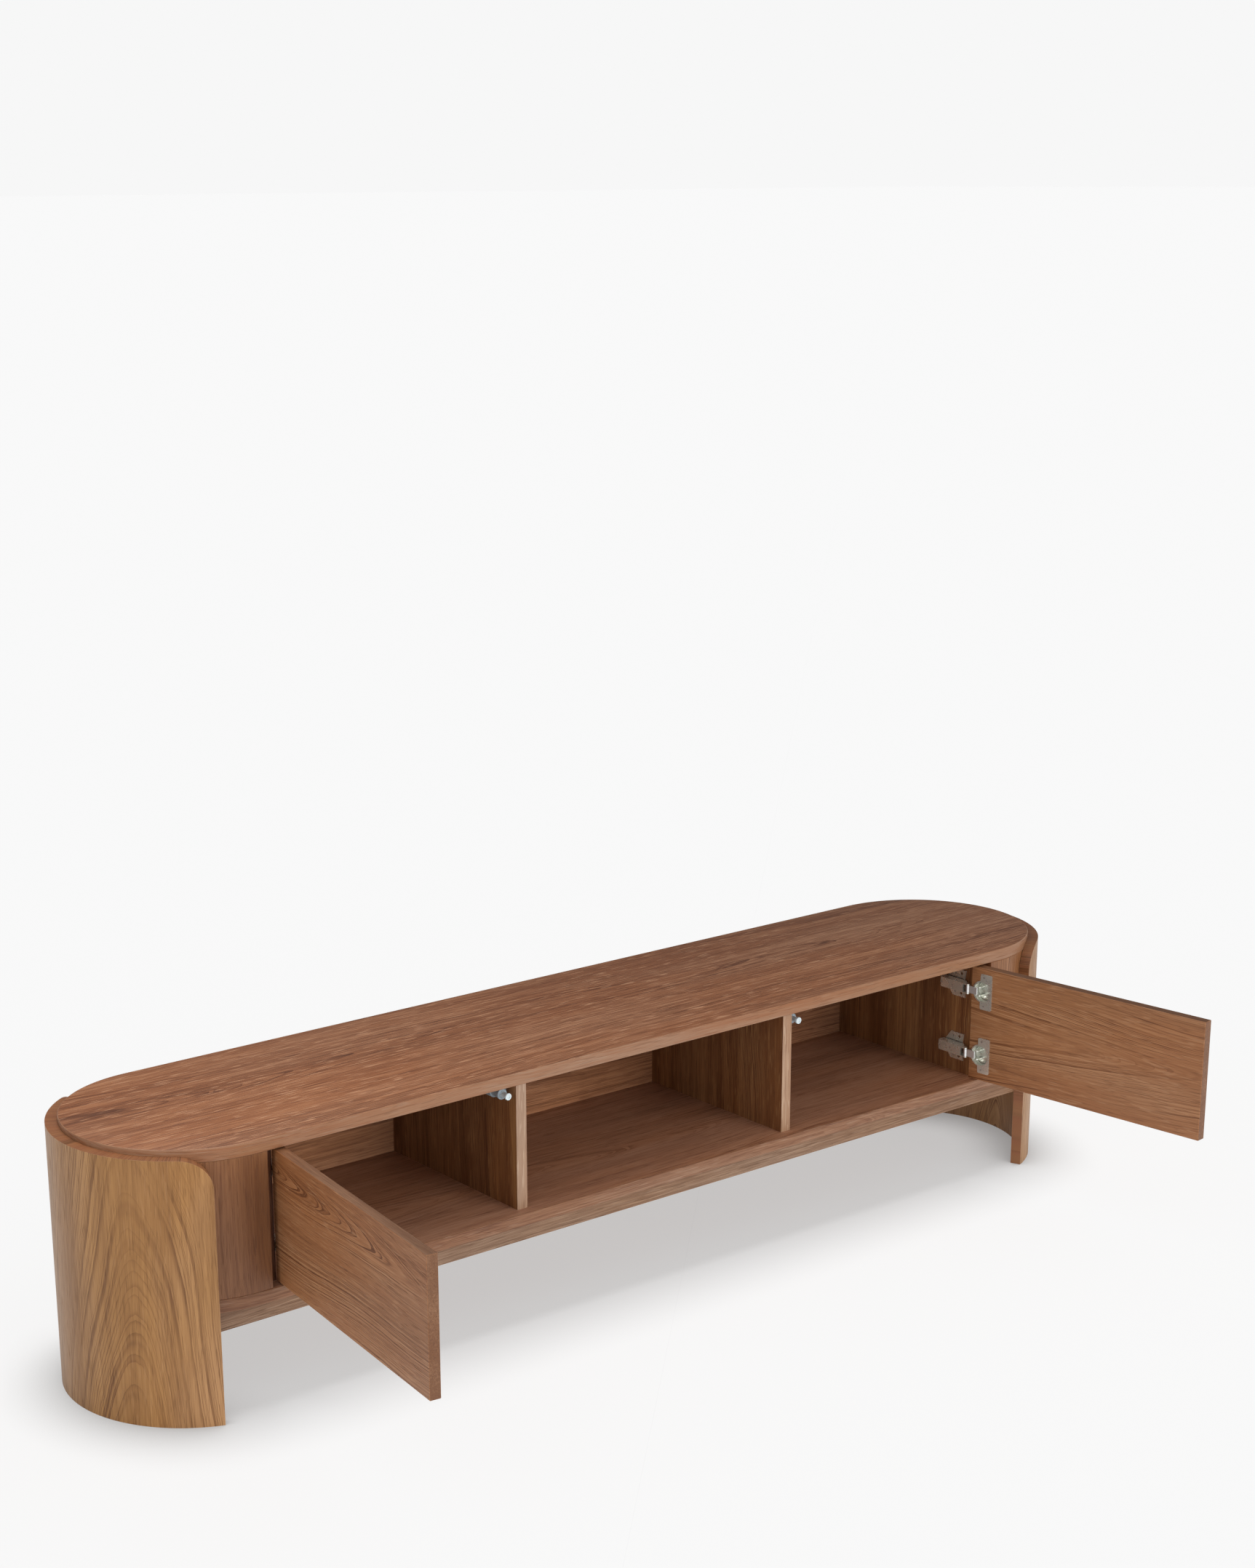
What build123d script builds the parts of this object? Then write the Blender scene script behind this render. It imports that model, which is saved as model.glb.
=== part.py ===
from build123d import *
import os
from math import cos, hypot, radians, sin

# A low pill-shaped media console. A stadium-shaped top and bottom carry three bays between them.
# Half-round end walls close the carcass, half-round outer shells stand on the floor and carry it,
# and two inset doors swing on concealed cup hinges. The doors stand open, as the object rests.
#
# Units are millimetres. X runs along the length, the doors open towards -Y, and Z is up.
# The pieces are drawn about the centre of the carcass. The last step moves them all back, so that
# the origin is on the floor at the centre of the footprint, open doors included.

# ---------------------------------------------------------------- overall sizes
OVERALL_LENGTH = 1800.0
TOP_DEPTH = 352.0
OVERALL_HEIGHT = 390.0
UNDER_CLEARANCE = 128.0

# ---------------------------------------------------------------- boards
PANEL_THICKNESS = 19.0
UPRIGHT_THICKNESS = 18.0
BACK_THICKNESS = 12.0
BACK_INSET = 8.0
END_WALL_THICKNESS = 16.0
END_WALL_INSET = 0.6
END_WALL_RETURN = 17.0
MIDDLE_BAY_WIDTH = 496.0
RAIL_HEIGHT = 27.0
RAIL_DEPTH = 24.0
CLEAT_DEPTH = 20.0
EASED_EDGE = 1.2

# ---------------------------------------------------------------- outer shells
SHELL_THICKNESS = 17.0
SHELL_WRAP = 69.0  # degrees from the end of the console to each upright edge
SHELL_TOP_DROP = 8.5
SHELL_CORNER_RADIUS = 44.0
GLUE_GAP = 0.2

# ---------------------------------------------------------------- doors
DOOR_THICKNESS = 16.0
DOOR_SIDE_GAP = 3.0
DOOR_END_GAP = 2.5
DOOR_BACK_GAP = 2.0
DIVIDER_SHOWING = 2.0  # strip of divider edge left uncovered by the closed door
DOOR_OPEN_ANGLE = 97.0
PIVOT_FROM_INNER_FACE = 13.5
PIVOT_FROM_EDGE = 12.5
PIVOT_SWEEP_CLEARANCE = 0.8

# ---------------------------------------------------------------- concealed hinges
HINGE_FROM_DOOR_TOP = 40.0
HINGE_FROM_DOOR_BOTTOM = 43.0
CUP_RADIUS = 17.45
CUP_FIT_GAP = 0.05
CUP_DEPTH = 11.0
CUP_WALL = 1.0
CUP_FROM_EDGE = 22.5
FLANGE_THICKNESS = 1.2
FLANGE_RIM = 1.1
FLANGE_HALF_HEIGHT = 30.0
FLANGE_INNER = 4.0  # wing edge, measured from the cup centre towards the hinge side
FLANGE_OUTER = 18.5  # straight edge, measured from the cup centre away from it
FLANGE_CORNER = 3.0
CUP_EAR_OFFSET = 5.5  # from the cup centre towards the hinge side
CUP_EAR_RADIUS = 3.5
CUP_EAR_RISE = 0.5  # centre of the rounded ear above the door's inner face
CUP_EAR_THICKNESS = 1.6
CUP_EAR_GAP = 0.3
CUP_SCREW_OFFSET = 3.0
CUP_SCREW_HALF_SPACING = 24.0
LINK_PIN_ACROSS = 18.3  # from the door pivot to the arm's pin, across the bay
LINK_PIN_BEHIND = 15.5  # from the door pivot to the arm's pin, into the bay
LINK_PIN_RADIUS = 1.5
LINK_RUNNING_GAP = 0.05
LINK_LENGTH = 19.0
LINK_THICKNESS = 1.8
LINK_EYE_RADIUS = 3.0
LINK_HALF_WIDTH = 6.0
LINK_OPEN_DIRECTION = 267.0
ARM_CHEEK_GAP = 0.4
ARM_CHEEK = 1.8
ARM_LENGTH = 61.0
ARM_ROOF_HEIGHT = 18.5
ARM_ROOF = 1.5
ARM_FOOT_HEIGHT = 4.0
ARM_ROOF_START = 9.0  # open nose between the pin and the arm's roof
ARM_TAIL_CHAMFER = (2.0, 3.0)  # height and length of the slope at the arm's rear end
ARM_THROAT = (1.0, 5.0)  # how far the cheeks step back and in behind the pin
ARM_FOOT_START = 6.0  # from the start of the roof to the start of the foot
ARM_SCREW_SHIFTS = (-8.0, 15.0)  # along the arm from the mounting plate's screws
PLATE_THICKNESS = 2.0
PLATE_SCREW_SETBACK = 37.0  # from the front edge of the side wall
PLATE_SCREW_HALF_SPACING = 16.0
PLATE_HALF_HEIGHT = 23.0
PLATE_HALF_LENGTH = 14.0
PLATE_BOSS_TOP = 12.0
PLATE_WING_FORWARD = 8.0  # how far the wings sit towards the door
PLATE_WAIST = 5.0  # how far the middle sits towards the back
PLATE_HOLE_RADIUS = 2.5
PLATE_HOLE_FORWARD = 13.0  # from the mounting screws towards the door
PLATE_HOLE_HALF_SPACING = 17.0
BOSS_SIDE_GAP = 0.2

# ---------------------------------------------------------------- push latches
LATCH_STAND_OFF = 14.0
LATCH_BELOW_TOP = 20.5
LATCH_BODY_RADIUS = 7.0
LATCH_BODY_LENGTH = 62.0
LATCH_COLLAR_RADIUS = 8.2
LATCH_COLLAR_LENGTH = 3.0
PLUNGER_RADIUS = 4.15
PLUNGER_FIT_GAP = 0.05
PLUNGER_REACH = 15.0  # length of plunger that stands out of the collar
PLUNGER_LENGTH = 42.0
PLUNGER_HEAD_RADIUS = 5.2
PLUNGER_HEAD_LENGTH = 3.5
PLUNGER_TRAVEL = 11.0
PLUNGER_DOOR_GAP = 0.5
PLUNGER_HEAD_ROUND = 0.8
PLUNGER_DISH_DEPTH = 0.8
PLUNGER_END_PLAY = 2.0
BRACKET_THICKNESS = 2.0
BRACKET_LENGTH = 46.0
BRACKET_HEIGHT = 24.0
BRACKET_START = 10.0
BRACKET_BLOCK_LENGTH = 30.0
BRACKET_CLASP_WALL = 2.2
BRACKET_SCREW_SPACING = 36.0
BRACKET_SCREW_FROM_EDGE = 5.0

# ---------------------------------------------------------------- fasteners
WOOD_SCREW = {"head_radius": 3.8, "shank_radius": 1.9}
CUP_SCREW = {"head_radius": 3.6, "shank_radius": 1.75, "length": 12.0}
PLATE_SCREW = {"head_radius": 4.2, "shank_radius": 2.5, "length": 13.0}
ARM_SCREW = {"head_radius": 3.4, "shank_radius": 1.8, "length": 10.0}
BRACKET_SCREW = {"head_radius": 3.0, "shank_radius": 1.5, "length": 12.0}
RECESS_DEPTH_SHARE = 0.6  # depth of the driver recess as a share of the head's height
DOWEL_RADIUS = 4.0
DOWEL_LENGTH = 30.0
DOWEL_IN_PANEL = 11.0
DOWEL_END_PLAY = 1.0
DOWEL_GAP = 0.05
DOWEL_FROM_CENTRE = 105.0
END_DOWEL_ANGLE = 55.0
SCREW_GAP = 0.05
SHELL_SCREW_ANGLE = 40.0
SHELL_SCREW_FROM_PANELS = 30.0
SHELL_SCREW_LENGTH = 27.0
SHELL_SCREW_SUNK = 0.3  # the flat head is sunk, because the wall it sits in is curved
BACK_SCREW_LENGTH = 35.0
BACK_SCREW_ROWS = 3
RAIL_SCREW_COUNT = 6
RAIL_SCREW_LENGTH = 36.0

# ---------------------------------------------------------------- derived places
END_RADIUS = TOP_DEPTH / 2
SHELL_INNER = END_RADIUS + GLUE_GAP
SHELL_OUTER = SHELL_INNER + SHELL_THICKNESS
END_CENTRE_X = OVERALL_LENGTH / 2 - SHELL_OUTER
TOP_UNDERSIDE = OVERALL_HEIGHT - PANEL_THICKNESS
BOTTOM_UNDERSIDE = UNDER_CLEARANCE + RAIL_HEIGHT
FLOOR_OF_BAYS = BOTTOM_UNDERSIDE + PANEL_THICKNESS
BAY_HEIGHT = TOP_UNDERSIDE - FLOOR_OF_BAYS
FRONT_Y = -END_RADIUS
DOOR_INNER_Y = FRONT_Y + DOOR_THICKNESS
DIVIDER_FRONT_Y = DOOR_INNER_Y + DOOR_BACK_GAP
BACK_INNER_Y = END_RADIUS - BACK_INSET - BACK_THICKNESS
END_WALL_OUTER = END_RADIUS - END_WALL_INSET
END_WALL_INNER = END_WALL_OUTER - END_WALL_THICKNESS
SIDE_OUTER_X = END_CENTRE_X - END_WALL_RETURN
SIDE_INNER_X = SIDE_OUTER_X - UPRIGHT_THICKNESS
DIVIDER_INNER_X = MIDDLE_BAY_WIDTH / 2
DIVIDER_OUTER_X = DIVIDER_INNER_X + UPRIGHT_THICKNESS
RAIL_FRONT_Y = -SHELL_INNER * sin(radians(SHELL_WRAP))

# The left-hand side is drawn and the right-hand side is its mirror image.
DOOR_EDGE_X = -(SIDE_OUTER_X - DOOR_SIDE_GAP)
DOOR_FREE_X = -(DIVIDER_INNER_X + DIVIDER_SHOWING)
DOOR_WIDTH = DOOR_FREE_X - DOOR_EDGE_X
DOOR_BOTTOM_Z = FLOOR_OF_BAYS + DOOR_END_GAP
DOOR_TOP_Z = TOP_UNDERSIDE - DOOR_END_GAP
PIVOT_X = DOOR_EDGE_X + PIVOT_FROM_EDGE
PIVOT_Y = DOOR_INNER_Y - PIVOT_FROM_INNER_FACE
DOOR_CORNER_SWEEP = hypot(PIVOT_FROM_EDGE, PIVOT_FROM_INNER_FACE)
SIDE_FRONT_Y = PIVOT_Y + DOOR_CORNER_SWEEP + PIVOT_SWEEP_CLEARANCE
HINGE_HEIGHTS = {
    "upper": DOOR_TOP_Z - HINGE_FROM_DOOR_TOP,
    "lower": DOOR_BOTTOM_Z + HINGE_FROM_DOOR_BOTTOM,
}
CUP_X = DOOR_EDGE_X + CUP_FROM_EDGE
PIN_X = PIVOT_X + LINK_PIN_ACROSS
PIN_Y = PIVOT_Y + LINK_PIN_BEHIND
PLATE_SCREW_Y = SIDE_FRONT_Y + PLATE_SCREW_SETBACK
LATCH_X = -(DIVIDER_OUTER_X + LATCH_STAND_OFF)
LATCH_Z = TOP_UNDERSIDE - LATCH_BELOW_TOP
PLUNGER_TIP_Y = DOOR_INNER_Y + PLUNGER_DOOR_GAP
LATCH_FRONT_Y = PLUNGER_TIP_Y + PLUNGER_REACH

# The footprint runs from the free corners of the open doors to the back of the shells.
OPEN_SIN = sin(radians(DOOR_OPEN_ANGLE))
OPEN_COS = cos(radians(DOOR_OPEN_ANGLE))
DOOR_REACH_Y = PIVOT_Y - (DOOR_WIDTH - PIVOT_FROM_EDGE) * OPEN_SIN + min(
    (PIVOT_FROM_INNER_FACE - DOOR_THICKNESS) * OPEN_COS, PIVOT_FROM_INNER_FACE * OPEN_COS
)
SHELL_REACH_Y = max(END_RADIUS, SHELL_OUTER * sin(radians(min(SHELL_WRAP, 90.0))))
CARCASS_Y = -(DOOR_REACH_Y + SHELL_REACH_Y) / 2


# ---------------------------------------------------------------- shared shapes
def stadium(radius, end_centre=END_CENTRE_X):
    """A pill-shaped outline, centred, with half-round ends."""
    return SlotCenterToCenter(2 * end_centre, 2 * radius)


def prism(outline, z, height):
    """An outline in the XY plane, lifted to z and raised by height."""
    return extrude(Pos(0, 0, z) * outline, amount=height)


def block(x0, x1, y0, y1, z0, z1):
    """A box between two corners."""
    centre = Pos((x0 + x1) / 2, (y0 + y1) / 2, (z0 + z1) / 2)
    return centre * Box(x1 - x0, y1 - y0, z1 - z0)


def towards_front(y):
    """A plane at y whose sketches extrude towards the doors: local x is X and local y is Z."""
    return Plane(origin=(0, y, 0), x_dir=(1, 0, 0), z_dir=(0, -1, 0))


def rod(x, y, z, radius, length, direction):
    """A cylinder that starts at a point and runs along a direction."""
    plane = Plane(origin=(x, y, z), z_dir=direction)
    return extrude(plane * Circle(radius), amount=length)


def mirrored(shape):
    """The right-hand twin of a left-hand piece."""
    return mirror(shape, about=Plane.YZ)


def cross_recess(width, depth):
    """The cross-shaped driver recess of a screw, sunk from z = 0."""
    slot = Box(width, width / 4, 2 * depth)
    return slot + Rot(0, 0, 90) * slot


def countersunk_screw(head_radius, shank_radius, length):
    """A countersunk screw along -Z whose flat head lies at z = 0."""
    head_height = head_radius - shank_radius
    head = Pos(0, 0, -head_height / 2) * Cone(shank_radius, head_radius, head_height)
    shank = Pos(0, 0, -length / 2) * Cylinder(shank_radius, length)
    return head + shank - cross_recess(head_radius, head_height * RECESS_DEPTH_SHARE)


def countersunk_hole(head_radius, shank_radius, length):
    """The hole that takes a countersunk screw, with a little room all round it."""
    head_height = head_radius - shank_radius
    room = SCREW_GAP
    head = Pos(0, 0, -head_height / 2) * Cone(shank_radius + room, head_radius + room, head_height)
    shank = Pos(0, 0, -length / 2 - room) * Cylinder(shank_radius + room, length + 2 * room)
    return head + shank


def seated(shape, place, outward):
    """Moves a piece drawn along Z so that its head is at a place and faces outward."""
    return Plane(origin=place, z_dir=outward) * shape


def swung_open(shape):
    """Turns a left-hand door piece about the door pivot, from closed to open."""
    to_pivot = Pos(PIVOT_X, PIVOT_Y, 0)
    return to_pivot * Rot(0, 0, -DOOR_OPEN_ANGLE) * to_pivot.inverse() * shape


# ---------------------------------------------------------------- dowels and screws
def upright_dowel_places():
    """Centres of the dowels that hold the four uprights, as (x, y)."""
    upright_xs = [
        -(SIDE_INNER_X + UPRIGHT_THICKNESS / 2),
        -(DIVIDER_INNER_X + UPRIGHT_THICKNESS / 2),
        DIVIDER_INNER_X + UPRIGHT_THICKNESS / 2,
        SIDE_INNER_X + UPRIGHT_THICKNESS / 2,
    ]
    return [(x, y) for x in upright_xs for y in (-DOWEL_FROM_CENTRE, DOWEL_FROM_CENTRE)]


def end_wall_dowel_places():
    """Centres of the dowels that hold the half-round end walls, as (x, y)."""
    middle = (END_WALL_OUTER + END_WALL_INNER) / 2
    places = []
    for side in (-1, 1):
        for angle in (-END_DOWEL_ANGLE, 0.0, END_DOWEL_ANGLE):
            x = side * (END_CENTRE_X + middle * cos(radians(angle)))
            places.append((x, middle * sin(radians(angle))))
    return places


def dowels():
    """Every dowel: each crosses the joint between an upright and the top or bottom."""
    made = []
    for x, y in upright_dowel_places() + end_wall_dowel_places():
        top_start = TOP_UNDERSIDE + DOWEL_IN_PANEL - DOWEL_LENGTH
        bottom_start = FLOOR_OF_BAYS - DOWEL_IN_PANEL
        for z in (top_start, bottom_start):
            made.append(rod(x, y, z, DOWEL_RADIUS, DOWEL_LENGTH, (0, 0, 1)))
    return made


def dowel_holes():
    """The drillings for the dowels, a little wider and deeper than the dowels."""
    radius = DOWEL_RADIUS + DOWEL_GAP
    length = DOWEL_LENGTH + 2 * DOWEL_END_PLAY
    made = []
    for x, y in upright_dowel_places() + end_wall_dowel_places():
        top_start = TOP_UNDERSIDE + DOWEL_IN_PANEL + DOWEL_END_PLAY - length
        bottom_start = FLOOR_OF_BAYS - DOWEL_IN_PANEL - DOWEL_END_PLAY
        for z in (top_start, bottom_start):
            made.append(rod(x, y, z, radius, length, (0, 0, 1)))
    return made


def shell_screw_seats():
    """Seats of the screws driven outwards through each end wall into its shell."""
    seats = []
    low = FLOOR_OF_BAYS + SHELL_SCREW_FROM_PANELS
    high = TOP_UNDERSIDE - SHELL_SCREW_FROM_PANELS
    for side in (-1, 1):
        for angle in (-SHELL_SCREW_ANGLE, 0.0, SHELL_SCREW_ANGLE):
            ux, uy = side * cos(radians(angle)), sin(radians(angle))
            sunk = END_WALL_INNER + SHELL_SCREW_SUNK
            for z in (low, high):
                seats.append(((side * END_CENTRE_X + sunk * ux, sunk * uy, z), (-ux, -uy, 0)))
    return seats


def back_screw_seats():
    """Seats of the screws driven through the back into the four uprights."""
    outer_y = BACK_INNER_Y + BACK_THICKNESS
    xs = [
        -(SIDE_INNER_X + UPRIGHT_THICKNESS / 2),
        -(DIVIDER_INNER_X + UPRIGHT_THICKNESS / 2),
        DIVIDER_INNER_X + UPRIGHT_THICKNESS / 2,
        SIDE_INNER_X + UPRIGHT_THICKNESS / 2,
    ]
    step = BAY_HEIGHT / BACK_SCREW_ROWS
    zs = [FLOOR_OF_BAYS + step * (row + 0.5) for row in range(BACK_SCREW_ROWS)]
    return [((x, outer_y, z), (0, 1, 0)) for x in xs for z in zs]


def rail_screw_seats():
    """Seats of the screws driven up through both rails into the bottom."""
    middle_y = RAIL_FRONT_Y + RAIL_DEPTH / 2
    span = 2 * END_CENTRE_X
    step = span / (RAIL_SCREW_COUNT - 1)
    xs = [-END_CENTRE_X + step * n for n in range(RAIL_SCREW_COUNT)]
    return [((x, y, UNDER_CLEARANCE), (0, 0, -1)) for y in (middle_y, -middle_y) for x in xs]


def screws_at(seats, length):
    """One wood screw in each seat."""
    return [seated(countersunk_screw(length=length, **WOOD_SCREW), *seat) for seat in seats]


def screw_holes_at(seats, length):
    """The hole for the wood screw in each seat."""
    return [seated(countersunk_hole(length=length, **WOOD_SCREW), *seat) for seat in seats]


# ---------------------------------------------------------------- carcass
def eased(shape, faces):
    """Softens the outline of the given faces by the common small radius."""
    edges = ShapeList()
    for face in faces:
        edges += face.edges()
    return fillet(edges, EASED_EDGE)


def stadium_board(z):
    """A stadium-shaped board with softened rims."""
    board = prism(stadium(END_RADIUS), z, PANEL_THICKNESS)
    faces = board.faces().sort_by(Axis.Z)
    return eased(board, [faces[0], faces[-1]])


def top_panel():
    """The top: a stadium with blind dowel holes in its underside."""
    return stadium_board(TOP_UNDERSIDE) - dowel_holes()


def bottom_panel():
    """The bottom: the same stadium, drilled for the dowels above and the rail screws below."""
    holes = dowel_holes() + screw_holes_at(rail_screw_seats(), RAIL_SCREW_LENGTH)
    return stadium_board(BOTTOM_UNDERSIDE) - holes


def front_rail():
    """The straight rail under the bottom, trimmed to the inside of the shells."""
    bar = block(
        -OVERALL_LENGTH / 2,
        OVERALL_LENGTH / 2,
        RAIL_FRONT_Y,
        RAIL_FRONT_Y + RAIL_DEPTH,
        UNDER_CLEARANCE,
        BOTTOM_UNDERSIDE,
    )
    trimmed = bar & prism(stadium(END_RADIUS), UNDER_CLEARANCE, RAIL_HEIGHT)
    return trimmed - screw_holes_at(rail_screw_seats(), RAIL_SCREW_LENGTH)


def end_wall():
    """The half-round wall that closes the left end, with a short straight return at each edge."""
    outline = stadium(END_WALL_OUTER) - stadium(END_WALL_INNER)
    ring = prism(outline, FLOOR_OF_BAYS, BAY_HEIGHT)
    kept = block(
        -OVERALL_LENGTH,
        -SIDE_OUTER_X,
        -OVERALL_LENGTH,
        OVERALL_LENGTH,
        FLOOR_OF_BAYS,
        TOP_UNDERSIDE,
    )
    holes = dowel_holes() + screw_holes_at(shell_screw_seats(), SHELL_SCREW_LENGTH)
    return (ring & kept) - holes


def end_shell():
    """The half-round shell that carries the left end, with rounded top corners."""
    centre = (-END_CENTRE_X, 0)
    start = 180 - SHELL_WRAP
    inner = CenterArc(centre, SHELL_INNER, start, 2 * SHELL_WRAP)
    outer = CenterArc(centre, SHELL_OUTER, start, 2 * SHELL_WRAP)
    outline = make_face([inner, outer, Line(inner @ 0, outer @ 0), Line(inner @ 1, outer @ 1)])
    height = OVERALL_HEIGHT - SHELL_TOP_DROP
    shell = extrude(outline, amount=height)
    for side in (-1, 1):
        shell -= corner_waste(side, height)
    rim = shell.edges().filter_by(lambda edge: edge.center().Z > EASED_EDGE)
    shell = fillet(rim, EASED_EDGE)
    return shell - screw_holes_at(shell_screw_seats(), SHELL_SCREW_LENGTH)


def corner_waste(side, height):
    """What is cut away to round one top corner of the left shell."""
    angle = radians(180 - side * SHELL_WRAP)
    radial = Vector(cos(angle), sin(angle), 0)
    edge_foot = Vector(-END_CENTRE_X, 0, 0) + radial * (SHELL_INNER - SHELL_THICKNESS)
    # Local x runs back along the shell from its upright edge, and local y is up.
    back_along = Vector(0, 0, 1).cross(radial) * side
    plane = Plane(origin=edge_foot, x_dir=back_along, z_dir=back_along.cross(Vector(0, 0, 1)))
    corner = Pos(SHELL_CORNER_RADIUS / 2, height - SHELL_CORNER_RADIUS / 2) * Rectangle(
        SHELL_CORNER_RADIUS, SHELL_CORNER_RADIUS
    )
    round_part = Pos(SHELL_CORNER_RADIUS, height - SHELL_CORNER_RADIUS) * Circle(SHELL_CORNER_RADIUS)
    waste = plane * (corner - round_part)
    return extrude(waste, amount=3 * SHELL_THICKNESS, both=True)


def side_wall():
    """The flat wall of the left bay that carries the hinges."""
    wall = block(
        -SIDE_OUTER_X,
        -SIDE_INNER_X,
        SIDE_FRONT_Y,
        BACK_INNER_Y,
        FLOOR_OF_BAYS,
        TOP_UNDERSIDE,
    )
    holes = dowel_holes() + screw_holes_at(back_screw_seats(), BACK_SCREW_LENGTH)
    return wall - holes - plate_screw_holes()


def divider():
    """The left divider, between the left and middle bays."""
    board = block(
        -DIVIDER_OUTER_X,
        -DIVIDER_INNER_X,
        DIVIDER_FRONT_Y,
        BACK_INNER_Y,
        FLOOR_OF_BAYS,
        TOP_UNDERSIDE,
    )
    holes = dowel_holes() + screw_holes_at(back_screw_seats(), BACK_SCREW_LENGTH)
    holes += [seated(countersunk_hole(**BRACKET_SCREW), *seat) for seat in bracket_screw_seats()]
    return board - holes


def back_panel():
    """The back, which closes all three bays between the returns of the end walls."""
    reach = SIDE_OUTER_X - GLUE_GAP
    board = block(
        -reach,
        reach,
        BACK_INNER_Y,
        BACK_INNER_Y + BACK_THICKNESS,
        FLOOR_OF_BAYS,
        TOP_UNDERSIDE,
    )
    return board - screw_holes_at(back_screw_seats(), BACK_SCREW_LENGTH)


def corner_cleats():
    """Glue blocks that tie each side wall to the returns of its end wall."""
    cleat_width = END_WALL_RETURN - GLUE_GAP
    made = []
    for side in (-1, 1):
        x0, x1 = sorted((side * SIDE_OUTER_X, side * (SIDE_OUTER_X + cleat_width)))
        for y in (-END_WALL_INNER, END_WALL_INNER - CLEAT_DEPTH):
            made.append(block(x0, x1, y, y + CLEAT_DEPTH, FLOOR_OF_BAYS, TOP_UNDERSIDE))
    return made


# ---------------------------------------------------------------- doors
def door():
    """The left door, closed: a board with softened edges, bored for two hinge cups."""
    board = block(DOOR_EDGE_X, DOOR_FREE_X, FRONT_Y, DOOR_INNER_Y, DOOR_BOTTOM_Z, DOOR_TOP_Z)
    board = fillet(board.edges(), EASED_EDGE)
    for z in HINGE_HEIGHTS.values():
        board -= rod(CUP_X, DOOR_INNER_Y, z, CUP_RADIUS + CUP_FIT_GAP, CUP_DEPTH, (0, -1, 0))
    for seat in cup_screw_seats():
        board -= seated(countersunk_hole(**CUP_SCREW), *seat)
    return board


# ---------------------------------------------------------------- hinges
def cup_screw_seats():
    """Seats of the left door's cup screws, with the door closed."""
    x = CUP_X + CUP_SCREW_OFFSET
    y = DOOR_INNER_Y + FLANGE_THICKNESS
    return [
        ((x, y, z + side * CUP_SCREW_HALF_SPACING), (0, 1, 0))
        for z in HINGE_HEIGHTS.values()
        for side in (-1, 1)
    ]


def hinge_cup(z):
    """A cup with its flange, in the closed left door."""
    wing = Pos(CUP_X + (FLANGE_OUTER - FLANGE_INNER) / 2, z) * RectangleRounded(
        FLANGE_OUTER + FLANGE_INNER, 2 * FLANGE_HALF_HEIGHT, FLANGE_CORNER
    )
    rim = Pos(CUP_X, z) * Circle(CUP_RADIUS + FLANGE_RIM)
    mouth = Pos(CUP_X, z) * Circle(CUP_RADIUS - CUP_WALL)
    top = towards_front(DOOR_INNER_Y + FLANGE_THICKNESS)
    flange = extrude(top * (wing + rim), amount=FLANGE_THICKNESS)
    cup = rod(CUP_X, DOOR_INNER_Y, z, CUP_RADIUS, CUP_DEPTH, (0, -1, 0))
    inside = extrude(top * mouth, amount=FLANGE_THICKNESS + CUP_DEPTH - CUP_WALL)
    body = flange + cup - inside + cup_ears(z)
    for place, outward in cup_screw_seats():
        if abs(place[2] - z) <= CUP_SCREW_HALF_SPACING:
            body -= seated(countersunk_hole(**CUP_SCREW), place, outward)
    return body


def cup_ears(z):
    """The two ears inside the cup that flank the free end of the link."""
    x = CUP_X - CUP_EAR_OFFSET
    centre_y = DOOR_INNER_Y + CUP_EAR_RISE
    foot_y = DOOR_INNER_Y - CUP_DEPTH + CUP_WALL / 2
    stem = Pos(x, (centre_y + foot_y) / 2) * Rectangle(2 * CUP_EAR_RADIUS, centre_y - foot_y)
    outline = stem + Pos(x, centre_y) * Circle(CUP_EAR_RADIUS)
    start = LINK_HALF_WIDTH + CUP_EAR_GAP
    upper = prism(outline, z + start, CUP_EAR_THICKNESS)
    lower = prism(outline, z - start - CUP_EAR_THICKNESS, CUP_EAR_THICKNESS)
    return [upper, lower]


def hinge_link(z):
    """The link that turns on the arm's pin and reaches over the cup of the open left door."""
    angle = radians(LINK_OPEN_DIRECTION)
    end = (PIN_X + LINK_LENGTH * cos(angle), PIN_Y + LINK_LENGTH * sin(angle))
    middle = ((PIN_X + end[0]) / 2, (PIN_Y + end[1]) / 2)
    strip = Pos(*middle) * Rot(0, 0, LINK_OPEN_DIRECTION) * Rectangle(LINK_LENGTH, LINK_THICKNESS)
    outline = strip + Pos(PIN_X, PIN_Y) * Circle(LINK_EYE_RADIUS) + Pos(*end) * Circle(LINK_THICKNESS / 2)
    outline -= Pos(PIN_X, PIN_Y) * Circle(LINK_PIN_RADIUS + LINK_RUNNING_GAP)
    return prism(outline, z - LINK_HALF_WIDTH, 2 * LINK_HALF_WIDTH)


def arm_screw_seats(z):
    """Seats of the two adjusting screws on the arm's roof."""
    roof_x = -SIDE_INNER_X + ARM_ROOF_HEIGHT
    return [((roof_x, PLATE_SCREW_Y + shift, z), (1, 0, 0)) for shift in ARM_SCREW_SHIFTS]


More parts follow.
